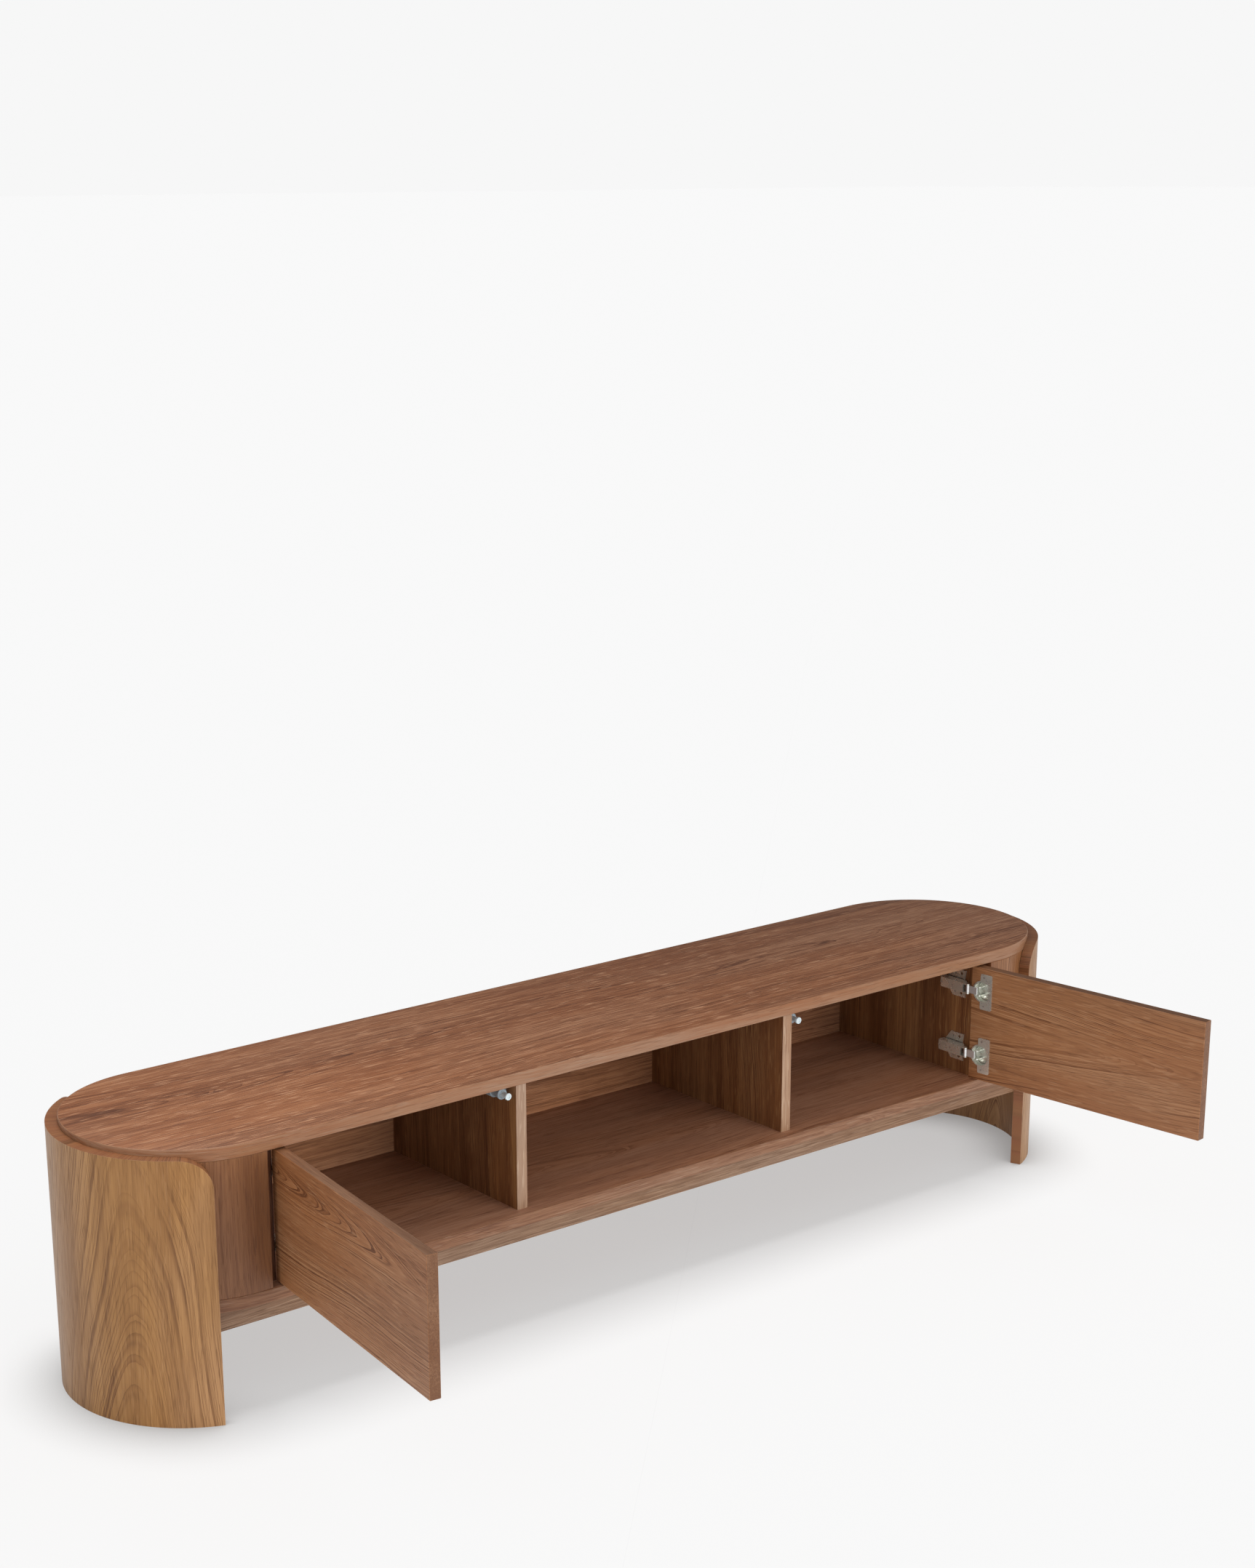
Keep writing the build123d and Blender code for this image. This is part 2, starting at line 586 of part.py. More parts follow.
def hinge_arm(z):
    """The channel-shaped arm on the side wall, with the pin that the link turns on."""
    inner = LINK_HALF_WIDTH + ARM_CHEEK_GAP
    outer = inner + ARM_CHEEK
    wall_x = -SIDE_INNER_X
    rear_y = PIN_Y + ARM_LENGTH
    roof_y = PIN_Y + ARM_ROOF_START
    tail_drop, tail_run = ARM_TAIL_CHAMFER
    throat_drop, throat_run = ARM_THROAT
    side_outline = make_face(
        Polyline(
            (wall_x + ARM_FOOT_HEIGHT, rear_y),
            (wall_x + ARM_ROOF_HEIGHT - tail_drop, rear_y),
            (wall_x + ARM_ROOF_HEIGHT, rear_y - tail_run),
            (wall_x + ARM_ROOF_HEIGHT, roof_y),
            (PIN_X + LINK_EYE_RADIUS, PIN_Y + LINK_EYE_RADIUS),
            (PIN_X + LINK_EYE_RADIUS, PIN_Y),
            (PIN_X - LINK_EYE_RADIUS, PIN_Y),
            (PIN_X - LINK_EYE_RADIUS - throat_drop, PIN_Y + throat_run),
            (wall_x + ARM_FOOT_HEIGHT, roof_y + ARM_FOOT_START),
            close=True,
        )
    )
    side_outline += Pos(PIN_X, PIN_Y) * Circle(LINK_EYE_RADIUS)
    whole = prism(side_outline, z - outer, 2 * outer)
    under_roof_x = wall_x + ARM_ROOF_HEIGHT - ARM_ROOF
    start_y = PIN_Y - ARM_LENGTH
    channel = block(wall_x, under_roof_x, start_y, rear_y + ARM_ROOF, z - inner, z + inner)
    nose = block(wall_x, wall_x + 2 * ARM_ROOF_HEIGHT, start_y, roof_y, z - inner, z + inner)
    pin = rod(PIN_X, PIN_Y, z - outer, LINK_PIN_RADIUS, 2 * outer, (0, 0, 1))
    body = whole - channel - nose + pin
    for seat in arm_screw_seats(z):
        body -= seated(countersunk_hole(**ARM_SCREW), *seat)
    return body


def mounting_plate(z):
    """The winged plate screwed to the side wall, with the boss that the arm rides on."""
    wall_x = -SIDE_INNER_X
    plane = Plane(origin=(wall_x, PLATE_SCREW_Y, z), x_dir=(0, 1, 0), z_dir=(1, 0, 0))
    half_boss = LINK_HALF_WIDTH + ARM_CHEEK_GAP - BOSS_SIDE_GAP
    wing_front = -PLATE_HALF_LENGTH - PLATE_WING_FORWARD
    wing_back = PLATE_HALF_LENGTH - PLATE_WING_FORWARD
    waist_front = -PLATE_HALF_LENGTH - PLATE_WAIST
    waist_back = PLATE_HALF_LENGTH + PLATE_WAIST
    wings = make_face(
        Polyline(
            (wing_front, PLATE_HALF_HEIGHT),
            (wing_back, PLATE_HALF_HEIGHT),
            (waist_back, half_boss),
            (waist_back, -half_boss),
            (wing_back, -PLATE_HALF_HEIGHT),
            (wing_front, -PLATE_HALF_HEIGHT),
            (waist_front, 0),
            close=True,
        )
    )
    plate = extrude(plane * wings, amount=PLATE_THICKNESS)
    boss = block(
        wall_x,
        wall_x + PLATE_BOSS_TOP,
        PLATE_SCREW_Y - PLATE_HALF_LENGTH,
        PLATE_SCREW_Y + waist_back,
        z - half_boss,
        z + half_boss,
    )
    body = plate + boss
    for place, outward in plate_screw_seats():
        if abs(place[2] - z) <= PLATE_SCREW_HALF_SPACING:
            body -= seated(countersunk_hole(**PLATE_SCREW), place, outward)
    hole_y = PLATE_SCREW_Y - PLATE_HOLE_FORWARD
    for hole_z in (z - PLATE_HOLE_HALF_SPACING, z + PLATE_HOLE_HALF_SPACING):
        body -= rod(wall_x, hole_y, hole_z, PLATE_HOLE_RADIUS, PLATE_THICKNESS, (1, 0, 0))
    for seat in arm_screw_seats(z):
        body -= seated(countersunk_hole(**ARM_SCREW), *seat)
    return body


def plate_screw_seats():
    """Seats of the screws that hold the left mounting plates to the side wall."""
    x = -SIDE_INNER_X + PLATE_THICKNESS
    return [
        ((x, PLATE_SCREW_Y, z + side * PLATE_SCREW_HALF_SPACING), (1, 0, 0))
        for z in HINGE_HEIGHTS.values()
        for side in (-1, 1)
    ]


def plate_screw_holes():
    """The drillings for the mounting plate screws in the left side wall."""
    return [seated(countersunk_hole(**PLATE_SCREW), *seat) for seat in plate_screw_seats()]


# ---------------------------------------------------------------- push latches
def bracket_screw_seats():
    """Seats of the screws that hold the left latch bracket to the divider."""
    middle = LATCH_FRONT_Y + BRACKET_START + BRACKET_LENGTH / 2
    x = -DIVIDER_OUTER_X - BRACKET_THICKNESS
    shifts = (-BRACKET_SCREW_SPACING / 2, BRACKET_SCREW_SPACING / 2)
    z = LATCH_Z - BRACKET_HEIGHT / 2 + BRACKET_SCREW_FROM_EDGE
    return [((x, middle + shift, z), (-1, 0, 0)) for shift in shifts]


def latch_bracket():
    """The bracket that clasps the left latch against the divider."""
    face_x = -DIVIDER_OUTER_X
    start = LATCH_FRONT_Y + BRACKET_START
    plate = block(
        face_x - BRACKET_THICKNESS,
        face_x,
        start,
        start + BRACKET_LENGTH,
        LATCH_Z - BRACKET_HEIGHT / 2,
        LATCH_Z + BRACKET_HEIGHT / 2,
    )
    block_start = start + (BRACKET_LENGTH - BRACKET_BLOCK_LENGTH) / 2
    clasp_radius = LATCH_BODY_RADIUS + BRACKET_CLASP_WALL
    clasp = rod(LATCH_X, block_start, LATCH_Z, clasp_radius, BRACKET_BLOCK_LENGTH, (0, 1, 0))
    web = block(
        LATCH_X,
        face_x,
        block_start,
        block_start + BRACKET_BLOCK_LENGTH,
        LATCH_Z - LATCH_BODY_RADIUS / 2,
        LATCH_Z + LATCH_COLLAR_RADIUS,
    )
    bore = rod(LATCH_X, start, LATCH_Z, LATCH_BODY_RADIUS, BRACKET_LENGTH, (0, 1, 0))
    body = plate + clasp + web - bore
    for seat in bracket_screw_seats():
        body -= seated(countersunk_hole(**BRACKET_SCREW), *seat)
    return body


def latch_body():
    """The tube of the left latch, with its collar in front and a blind bore for the plunger."""
    tube = rod(LATCH_X, LATCH_FRONT_Y, LATCH_Z, LATCH_BODY_RADIUS, LATCH_BODY_LENGTH, (0, 1, 0))
    collar = rod(LATCH_X, LATCH_FRONT_Y, LATCH_Z, LATCH_COLLAR_RADIUS, LATCH_COLLAR_LENGTH, (0, 1, 0))
    body = tube + collar
    rear = body.faces().sort_by(Axis.Y)[-1].edges()
    front = body.faces().sort_by(Axis.Y)[0].edges()
    body = fillet(rear + front, EASED_EDGE)
    bore_depth = PLUNGER_LENGTH - PLUNGER_REACH + PLUNGER_TRAVEL + PLUNGER_END_PLAY
    bore_radius = PLUNGER_RADIUS + PLUNGER_FIT_GAP
    return body - rod(LATCH_X, LATCH_FRONT_Y, LATCH_Z, bore_radius, bore_depth, (0, 1, 0))


def latch_plunger():
    """The plunger of the left latch, standing out, with its dished head."""
    tip_y = PLUNGER_TIP_Y
    stem = rod(LATCH_X, tip_y, LATCH_Z, PLUNGER_RADIUS, PLUNGER_LENGTH, (0, 1, 0))
    head = rod(LATCH_X, tip_y, LATCH_Z, PLUNGER_HEAD_RADIUS, PLUNGER_HEAD_LENGTH, (0, 1, 0))
    body = stem + head
    body = fillet(body.faces().sort_by(Axis.Y)[0].edges(), PLUNGER_HEAD_ROUND)
    dish = rod(LATCH_X, tip_y, LATCH_Z, PLUNGER_HEAD_RADIUS / 2, PLUNGER_DISH_DEPTH, (0, 1, 0))
    return body - dish


# ---------------------------------------------------------------- all the pieces
def right_hand(shapes):
    """Mirror images of a list of left-hand pieces."""
    return [mirrored(shape) for shape in shapes]


def all_pieces():
    """Every node by name, as the solids it holds, about the centre of the carcass."""
    left_plate_screws = [seated(countersunk_screw(**PLATE_SCREW), *s) for s in plate_screw_seats()]
    left_cup_screws = [
        swung_open(seated(countersunk_screw(**CUP_SCREW), *s)) for s in cup_screw_seats()
    ]
    left_arm_screws = [
        seated(countersunk_screw(**ARM_SCREW), *s)
        for z in HINGE_HEIGHTS.values()
        for s in arm_screw_seats(z)
    ]
    left_bracket_screws = [
        seated(countersunk_screw(**BRACKET_SCREW), *s) for s in bracket_screw_seats()
    ]
    pieces = {
        "top_panel": [top_panel()],
        "bottom_panel": [bottom_panel()],
        "front_rail": [front_rail()],
        "back_rail": [mirror(front_rail(), about=Plane.XZ)],
        "back_panel": [back_panel()],
        "corner_cleats": corner_cleats(),
        "wood_dowels": dowels(),
        "shell_screws": screws_at(shell_screw_seats(), SHELL_SCREW_LENGTH),
        "back_screws": screws_at(back_screw_seats(), BACK_SCREW_LENGTH),
        "rail_screws": screws_at(rail_screw_seats(), RAIL_SCREW_LENGTH),
        "hinge_plate_screws": left_plate_screws + right_hand(left_plate_screws),
        "hinge_arm_screws": left_arm_screws + right_hand(left_arm_screws),
        "latch_bracket_screws": left_bracket_screws + right_hand(left_bracket_screws),
        "left_cup_screws": left_cup_screws,
        "right_cup_screws": right_hand(left_cup_screws),
    }
    left_pieces = {
        "end_shell": end_shell(),
        "end_wall": end_wall(),
        "side_wall": side_wall(),
        "divider": divider(),
        "door": swung_open(door()),
        "latch_bracket": latch_bracket(),
        "latch_body": latch_body(),
        "latch_plunger": latch_plunger(),
    }
    for place, z in HINGE_HEIGHTS.items():
        left_pieces[f"{place}_hinge_cup"] = swung_open(hinge_cup(z))
        left_pieces[f"{place}_hinge_link"] = hinge_link(z)
        left_pieces[f"{place}_hinge_arm"] = hinge_arm(z)
        left_pieces[f"{place}_hinge_plate"] = mounting_plate(z)
    for name, shape in left_pieces.items():
        pieces[f"left_{name}"] = [shape]
        pieces[f"right_{name}"] = [mirrored(shape)]
    return pieces


def write_parts():
    """Writes one STEP file per node, in the object's own frame."""
    os.makedirs("parts", exist_ok=True)
    for name, shapes in all_pieces().items():
        solids = [Pos(0, CARCASS_Y, 0) * solid for shape in shapes for solid in shape.solids()]
        export_step(Compound(children=solids), f"parts/{name}.step")


write_parts()
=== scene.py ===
import logging
import math
from dataclasses import dataclass, field, replace
from enum import Enum

import bmesh
import bpy
from mathutils import Matrix, Vector


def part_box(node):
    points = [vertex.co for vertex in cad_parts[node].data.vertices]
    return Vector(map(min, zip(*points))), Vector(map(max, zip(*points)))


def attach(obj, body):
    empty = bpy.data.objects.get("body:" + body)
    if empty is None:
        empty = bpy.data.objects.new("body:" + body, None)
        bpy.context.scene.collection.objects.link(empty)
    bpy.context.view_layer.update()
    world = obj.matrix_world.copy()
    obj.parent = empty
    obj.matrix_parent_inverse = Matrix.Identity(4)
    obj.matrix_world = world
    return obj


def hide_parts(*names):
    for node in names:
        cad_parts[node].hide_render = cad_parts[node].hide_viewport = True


# A long low media console: smooth curved boards, veneers, hinges and push latches.
# Everything is in metres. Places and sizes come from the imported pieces' own boxes.

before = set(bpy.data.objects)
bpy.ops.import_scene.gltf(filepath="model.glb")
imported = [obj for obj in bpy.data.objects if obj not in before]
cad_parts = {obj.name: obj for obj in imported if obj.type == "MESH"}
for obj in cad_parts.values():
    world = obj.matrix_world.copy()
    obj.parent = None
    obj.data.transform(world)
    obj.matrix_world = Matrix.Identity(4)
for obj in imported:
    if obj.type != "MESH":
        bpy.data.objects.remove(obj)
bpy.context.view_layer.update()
LOG = logging.getLogger("media_console")

# A colour, a place, a direction or a scale.
Triple = tuple[float, float, float]
Socket = bpy.types.NodeSocket
Groups = dict[str, bpy.types.NodeTree]
Mesh = bmesh.types.BMesh

EASED_EDGE = 0.0012
EDGE_SEGMENTS = 3
SMOOTH_BELOW = math.radians(32.0)
TOUCHING = 1e-6
ACROSS_Y, ACROSS_Z = (0.0, 1.0, 0.0), (0.0, 0.0, 1.0)


class Side(Enum):
    """The two ends of the console, as the sign of x."""

    LEFT = -1
    RIGHT = 1

    @property
    def word(self) -> str:
        """The side as the pieces' names have it."""
        return self.name.lower()


class Taker(Enum):
    """What a studio light falls on, as how its list of takers treats the floor."""

    FLOOR = "INCLUDE"
    OBJECT = "EXCLUDE"


class Grain(Enum):
    """Which way a board's grain runs, as the order of along, across and through."""

    LENGTHWISE = "XYZ"
    UPRIGHT_FACING_SIDE = "ZYX"
    UPRIGHT_FACING_FRONT = "ZXY"
    LEVEL_FACING_FRONT = "XZY"
    ON_SURFACE = "UV"


# ---------------------------------------------------------------- node tree helpers
class Tree:
    """A short way to add and join shader nodes in one tree."""

    def __init__(self, tree: bpy.types.NodeTree) -> None:
        """Keeps the tree.

        Args:
            tree: The node tree to write into.
        """
        self.tree = tree

    def add(self, kind: str, **settings: object) -> bpy.types.Node:
        """Adds a node.

        Args:
            kind: The node's type name, without the ShaderNode prefix.
            settings: Node properties to set.

        Returns:
            The new node.
        """
        node = self.tree.nodes.new(f"ShaderNode{kind}")
        for name, value in settings.items():
            setattr(node, name, value)
        return node

    def put(self, socket: Socket, value: object) -> None:
        """Links an output to a socket, or sets the socket's own value.

        Args:
            socket: The input socket.
            value: An output socket, a number or a tuple.
        """
        if isinstance(value, Socket):
            self.tree.links.new(value, socket)
        else:
            socket.default_value = value

    def math(self, operation: str, *values: object, clamp: bool = False) -> Socket:
        """Adds a Math node and returns its output.

        Args:
            operation: The Math node's operation.
            values: Its inputs, as outputs or numbers.
            clamp: Whether the result is kept from 0 to 1.

        Returns:
            The node's output.
        """
        node = self.add("Math", operation=operation, use_clamp=clamp)
        for socket, value in zip(node.inputs, values):
            self.put(socket, value)
        return node.outputs[0]

    def plus(self, base: object, value: object, share: object) -> Socket:
        """Adds a share of a value to a base.

        Args:
            base: What is added to.
            value: The value.
            share: How much of the value is added.

        Returns:
            The sum.
        """
        return self.math("ADD", base, self.math("MULTIPLY", value, share))

    def scaled(self, vector: object, scale: Triple, shift: object = (0.0, 0.0, 0.0)) -> Socket:
        """Multiplies a vector by a scale and adds a shift.

        Args:
            vector: The vector output.
            scale: Factors along the three directions.
            shift: What is added afterwards.

        Returns:
            The new vector.
        """
        node = self.add("VectorMath", operation="MULTIPLY_ADD")
        self.put(node.inputs[0], vector)
        self.put(node.inputs[1], scale)
        self.put(node.inputs[2], shift)
        return node.outputs[0]

    def noise(self, vector: object, scale: float, detail: float = 2.0, rough: float = 0.5) -> Socket:
        """Adds a noise texture and returns its value.

        Args:
            vector: Where the noise is read.
            scale: Its scale.
            detail: Octaves of finer noise.
            rough: Strength of the finer octaves.

        Returns:
            The noise value, from 0 to 1.
        """
        node = self.add("TexNoise")
        self.put(node.inputs["Vector"], vector)
        node.inputs["Scale"].default_value = scale
        node.inputs["Detail"].default_value = detail
        node.inputs["Roughness"].default_value = rough
        return node.outputs["Fac"]

    def ranged(self, value: object, low: float, high: float, start: float, end: float) -> Socket:
        """Maps low to start and high to end, smoothly and clamped.

        Args:
            value: The value to map.
            low: Lowest value read.
            high: Highest value read.
            start: Result at low.
            end: Result at high.

        Returns:
            The mapped value.
        """
        node = self.add("MapRange", interpolation_type="SMOOTHSTEP")
        for name, number in (("From Min", low), ("From Max", high), ("To Min", start), ("To Max", end)):
            node.inputs[name].default_value = number
        self.put(node.inputs["Value"], value)
        return node.outputs[0]

    def mixed(self, factor: object, first: object, second: object, blend: str = "MIX") -> Socket:
        """Mixes two colours.

        Args:
            factor: Share of the second.
            first: First colour.
            second: Second colour.
            blend: How they mix.

        Returns:
            The mixed colour.
        """
        node = self.add("Mix", data_type="RGBA", blend_type=blend)
        self.put(node.inputs[0], factor)
        self.put(node.inputs[6], rgba(first))
        self.put(node.inputs[7], rgba(second))
        return node.outputs[2]

    def wear(self, group: bpy.types.NodeTree, place: object, radius: float, strength: float) -> Socket:
        """Adds the edge group.

        Args:
            group: The edge group.
            place: Where its noise is read.
            radius: How far the edge wear and painted highlight reach from a corner, in metres.
            strength: How much of the mask shows.

        Returns:
            The share of edge wear and painted highlight, from 0 to strength.
        """
        node = self.add("Group", node_tree=group)
        self.put(node.inputs["Vector"], place)
        node.inputs["Radius"].default_value = radius
        return self.math("MULTIPLY", node.outputs["Mask"], strength)

    def bump(self, shader: bpy.types.Node, height: object, strength: float, distance: float) -> None:
        """Bumps a shader's surface.

        Args:
            shader: The Principled shader.
            height: The height output.
            strength: How much of it shows.
            distance: Its depth, in metres.
        """
        node = self.add("Bump")
        node.inputs["Strength"].default_value = strength
        node.inputs["Distance"].default_value = distance
        self.put(node.inputs["Height"], height)
        self.put(shader.inputs["Normal"], node.outputs[0])


def rgba(colour: object) -> object:
    """Adds an alpha of 1 to a plain colour, and leaves an output socket alone."""
    return (*colour, 1.0) if isinstance(colour, tuple) and len(colour) == 3 else colour


def new_material(name: str) -> tuple[bpy.types.Material, Tree, bpy.types.Node]:
    """Makes a material.

    Args:
        name: Its name.

    Returns:
        The material, its tree and its Principled shader.
    """
    made = bpy.data.materials.new(name)
    made.use_nodes = True
    return made, Tree(made.node_tree), made.node_tree.nodes["Principled BSDF"]


def new_group(name: str, inputs: dict[str, tuple[str, object]], outputs: dict[str, str]) -> Tree:
    """Makes an empty shader node group with named sockets.

    Args:
        name: The group's name.
        inputs: Socket types and default values by name.
        outputs: Socket types by name.

    Returns:
        The group's tree, with one input and one output node in it.
    """
    tree = bpy.data.node_groups.new(name, "ShaderNodeTree")
    for socket, (kind, value) in inputs.items():
        made = tree.interface.new_socket(socket, in_out="INPUT", socket_type=f"NodeSocket{kind}")
        if value is not None:
            made.default_value = value
    for socket, kind in outputs.items():
        tree.interface.new_socket(socket, in_out="OUTPUT", socket_type=f"NodeSocket{kind}")
    tree.nodes.new("NodeGroupInput")
    tree.nodes.new("NodeGroupOutput")
    return Tree(tree)


# ---------------------------------------------------------------- shared effects
@dataclass(frozen=True)
class WoodFigure:
    """The grain group: growth rings cut at a slant, streaks, fibres, pores and flecks.

    A stretch is how fast a noise changes along, across and through the grain, per metre.
    """

    seed_shares: Triple = (7.31, 3.17, 5.43)
    sway_stretch: Triple = (1.6, 3.5, 3.5)
    sway_size: float = 0.12
    ripple_stretch: Triple = (8.0, 30.0, 30.0)
    ripple_size: float = 0.005
    wobble_stretch: Triple = (16.0, 130.0, 130.0)
    wobble_size: float = 0.0012
    uneven_step: float = 0.45
    uneven_size: float = 3.0
    ring_sharpness: float = 3.0
    ring_level: float = 0.25
    fade_stretch: Triple = (2.4, 14.0, 14.0)
    streak_stretch: Triple = (0.7, 26.0, 26.0)
    dash_stretch: Triple = (9.0, 330.0, 330.0)
    fine_stretch: Triple = (14.0, 900.0, 900.0)
    patch_stretch: Triple = (2.6, 6.0, 6.0)
    patch_strength: float = 0.30
    pore_stretch: Triple = (30.0, 640.0, 640.0)
    fleck_stretch: Triple = (26.0, 330.0, 330.0)
    fleck_shift: Triple = (3.3, 1.7, 0.4)
    warmth_stretch: Triple = (2.0, 9.0, 9.0)
    warmth_shift: Triple = (5.1, 2.9, 8.3)
    fibre_height: float = 0.6
    pore_depth: float = 0.8

    def centred(self, group: Tree, place: object, stretch: Triple, detail: float) -> Socket:
        """Adds a stretched noise that varies round zero.

        Args:
            group: The group's tree.
            place: The grain's coordinates, moved by the seed.
            stretch: The noise's stretch.
            detail: Octaves of finer noise.

        Returns:
            The noise, from -0.5 to 0.5.
        """
        return group.math("SUBTRACT", group.noise(group.scaled(place, stretch), 1.0, detail), 0.5)

    def rings(self, group: Tree, place: object) -> Socket:
        """Adds the growth rings.

        Args:
            group: The group's tree.
            place: The grain's coordinates, moved by the seed.

        Returns:
            The rings' tone, round zero.
        """
        inside = group.tree.nodes[0].outputs
        split = group.add("SeparateXYZ")
        group.put(split.inputs[0], inside["Vector"])
        along, across = split.outputs[0], split.outputs[1]
        sway = self.centred(group, place, self.sway_stretch, 1.0)
        ripple = self.centred(group, place, self.ripple_stretch, 2.0)
        wobble = self.centred(group, place, self.wobble_stretch, 2.0)
        shifted = group.math("SUBTRACT", across, inside["Centre"])
        shifted = group.plus(shifted, sway, self.sway_size)
        spread = group.math("MULTIPLY", shifted, shifted)
        heart = group.math("MULTIPLY", inside["Heart"], inside["Heart"])
        distance = group.math("SQRT", group.math("ADD", spread, heart))
        for value, size in (
            (along, inside["Slope"]), (ripple, self.ripple_size), (wobble, self.wobble_size),
        ):
            distance = group.plus(distance, value, size)
        count = group.math("MULTIPLY", distance, inside["Rings"])
        uneven = group.add("TexNoise", noise_dimensions="1D")
        group.put(uneven.inputs["W"], group.plus(inside["Seed"], count, self.uneven_step))
        uneven.inputs["Detail"].default_value = 1.0
        count = group.plus(count, uneven.outputs["Fac"], self.uneven_size)
        ring = group.math("POWER", group.math("FRACT", count), self.ring_sharpness)
        fade = group.noise(group.scaled(place, self.fade_stretch), 1.0, 1.0)
        faded = group.ranged(fade, 0.35, 0.68, 0.15, 1.25)
        return group.math("MULTIPLY", group.math("SUBTRACT", self.ring_level, ring), faded)

    def build(self) -> bpy.types.NodeTree:
        """Builds the group.

        Returns:
            The group. Its vector is in metres: along, across and through the grain.
        """
        group = new_group(
            "wood_figure",
            {
                "Vector": ("Vector", None),
                "Seed": ("Float", 0.0),
                "Rings": ("Float", 150.0),
                "Slope": ("Float", 0.05),
                "Centre": ("Float", 0.0),
                "Heart": ("Float", 0.03),
                "Ring strength": ("Float", 0.5),
                "Streak strength": ("Float", 0.5),
                "Fibre strength": ("Float", 0.4),
            },
            {"Tone": "Float", "Pores": "Float", "Flecks": "Float", "Height": "Float", "Warmth": "Float"},
        )
        inside, outside = group.tree.nodes[0].outputs, group.tree.nodes[1].inputs
        seeds = group.add("CombineXYZ")
        for socket, share in zip(seeds.inputs, self.seed_shares):
            group.put(socket, group.math("MULTIPLY", inside["Seed"], share))
        place = group.scaled(inside["Vector"], (1.0, 1.0, 1.0), seeds.outputs[0])
        ring = self.rings(group, place)

        streak = group.noise(group.scaled(place, self.streak_stretch), 1.0, 4.0, 0.6)
        dash = group.noise(group.scaled(place, self.dash_stretch), 1.0, 2.0, 0.6)
        fine = group.noise(group.scaled(place, self.fine_stretch), 1.0, 2.0, 0.65)
        patch = group.noise(group.scaled(place, self.patch_stretch), 1.0, 3.0)
        tone = group.plus(0.5, ring, inside["Ring strength"])
        for value, strength in (
            (streak, inside["Streak strength"]),
            (dash, inside["Fibre strength"]),
            (fine, inside["Fibre strength"]),
            (patch, self.patch_strength),
        ):
            tone = group.plus(tone, group.math("SUBTRACT", value, 0.5), strength)
        group.put(outside["Tone"], group.math("MAXIMUM", group.math("MINIMUM", tone, 1.0), 0.0))

        holes = group.noise(group.scaled(place, self.pore_stretch), 1.0, 1.0)
        pores = group.ranged(holes, 0.58, 0.66, 0.0, 1.0)
        group.put(outside["Pores"], pores)
        specks = group.noise(group.scaled(place, self.fleck_stretch, self.fleck_shift), 1.0, 1.0)
        group.put(outside["Flecks"], group.ranged(specks, 0.60, 0.70, 0.0, 1.0))
        warm = group.noise(group.scaled(place, self.warmth_stretch, self.warmth_shift), 1.0, 2.0)
        group.put(outside["Warmth"], group.ranged(warm, 0.36, 0.62, 0.0, 1.0))
        raised = group.math("MULTIPLY", fine, self.fibre_height)
        group.put(outside["Height"], group.plus(raised, pores, -self.pore_depth))
        return group.tree


def worn_edges() -> bpy.types.NodeTree:
    """Builds the edge group: a mask along sharp corners, broken up by noise, which gives edge wear and
    painted highlights.

    Returns:
        The group. Its radius is how far the edge wear and painted highlight reach from a corner, in
        metres.
    """
    group = new_group(
        "worn_edges",
        {"Vector": ("Vector", None), "Radius": ("Float", 0.0015)},
        {"Mask": "Float"},
    )
    inside, outside = group.tree.nodes[0].outputs, group.tree.nodes[1].inputs
    rounded = group.add("Bevel", samples=3)
    group.put(rounded.inputs["Radius"], inside["Radius"])
    plain = group.add("NewGeometry")
    dot = group.add("VectorMath", operation="DOT_PRODUCT")
    group.put(dot.inputs[0], rounded.outputs[0])
    group.put(dot.inputs[1], plain.outputs["Normal"])
    corner = group.ranged(dot.outputs["Value"], 0.80, 0.985, 1.0, 0.0)
    rubbed = group.ranged(group.noise(inside["Vector"], 55.0, 3.0), 0.35, 0.65, 0.25, 1.0)
    group.put(outside["Mask"], group.math("MULTIPLY", corner, rubbed))
    return group.tree


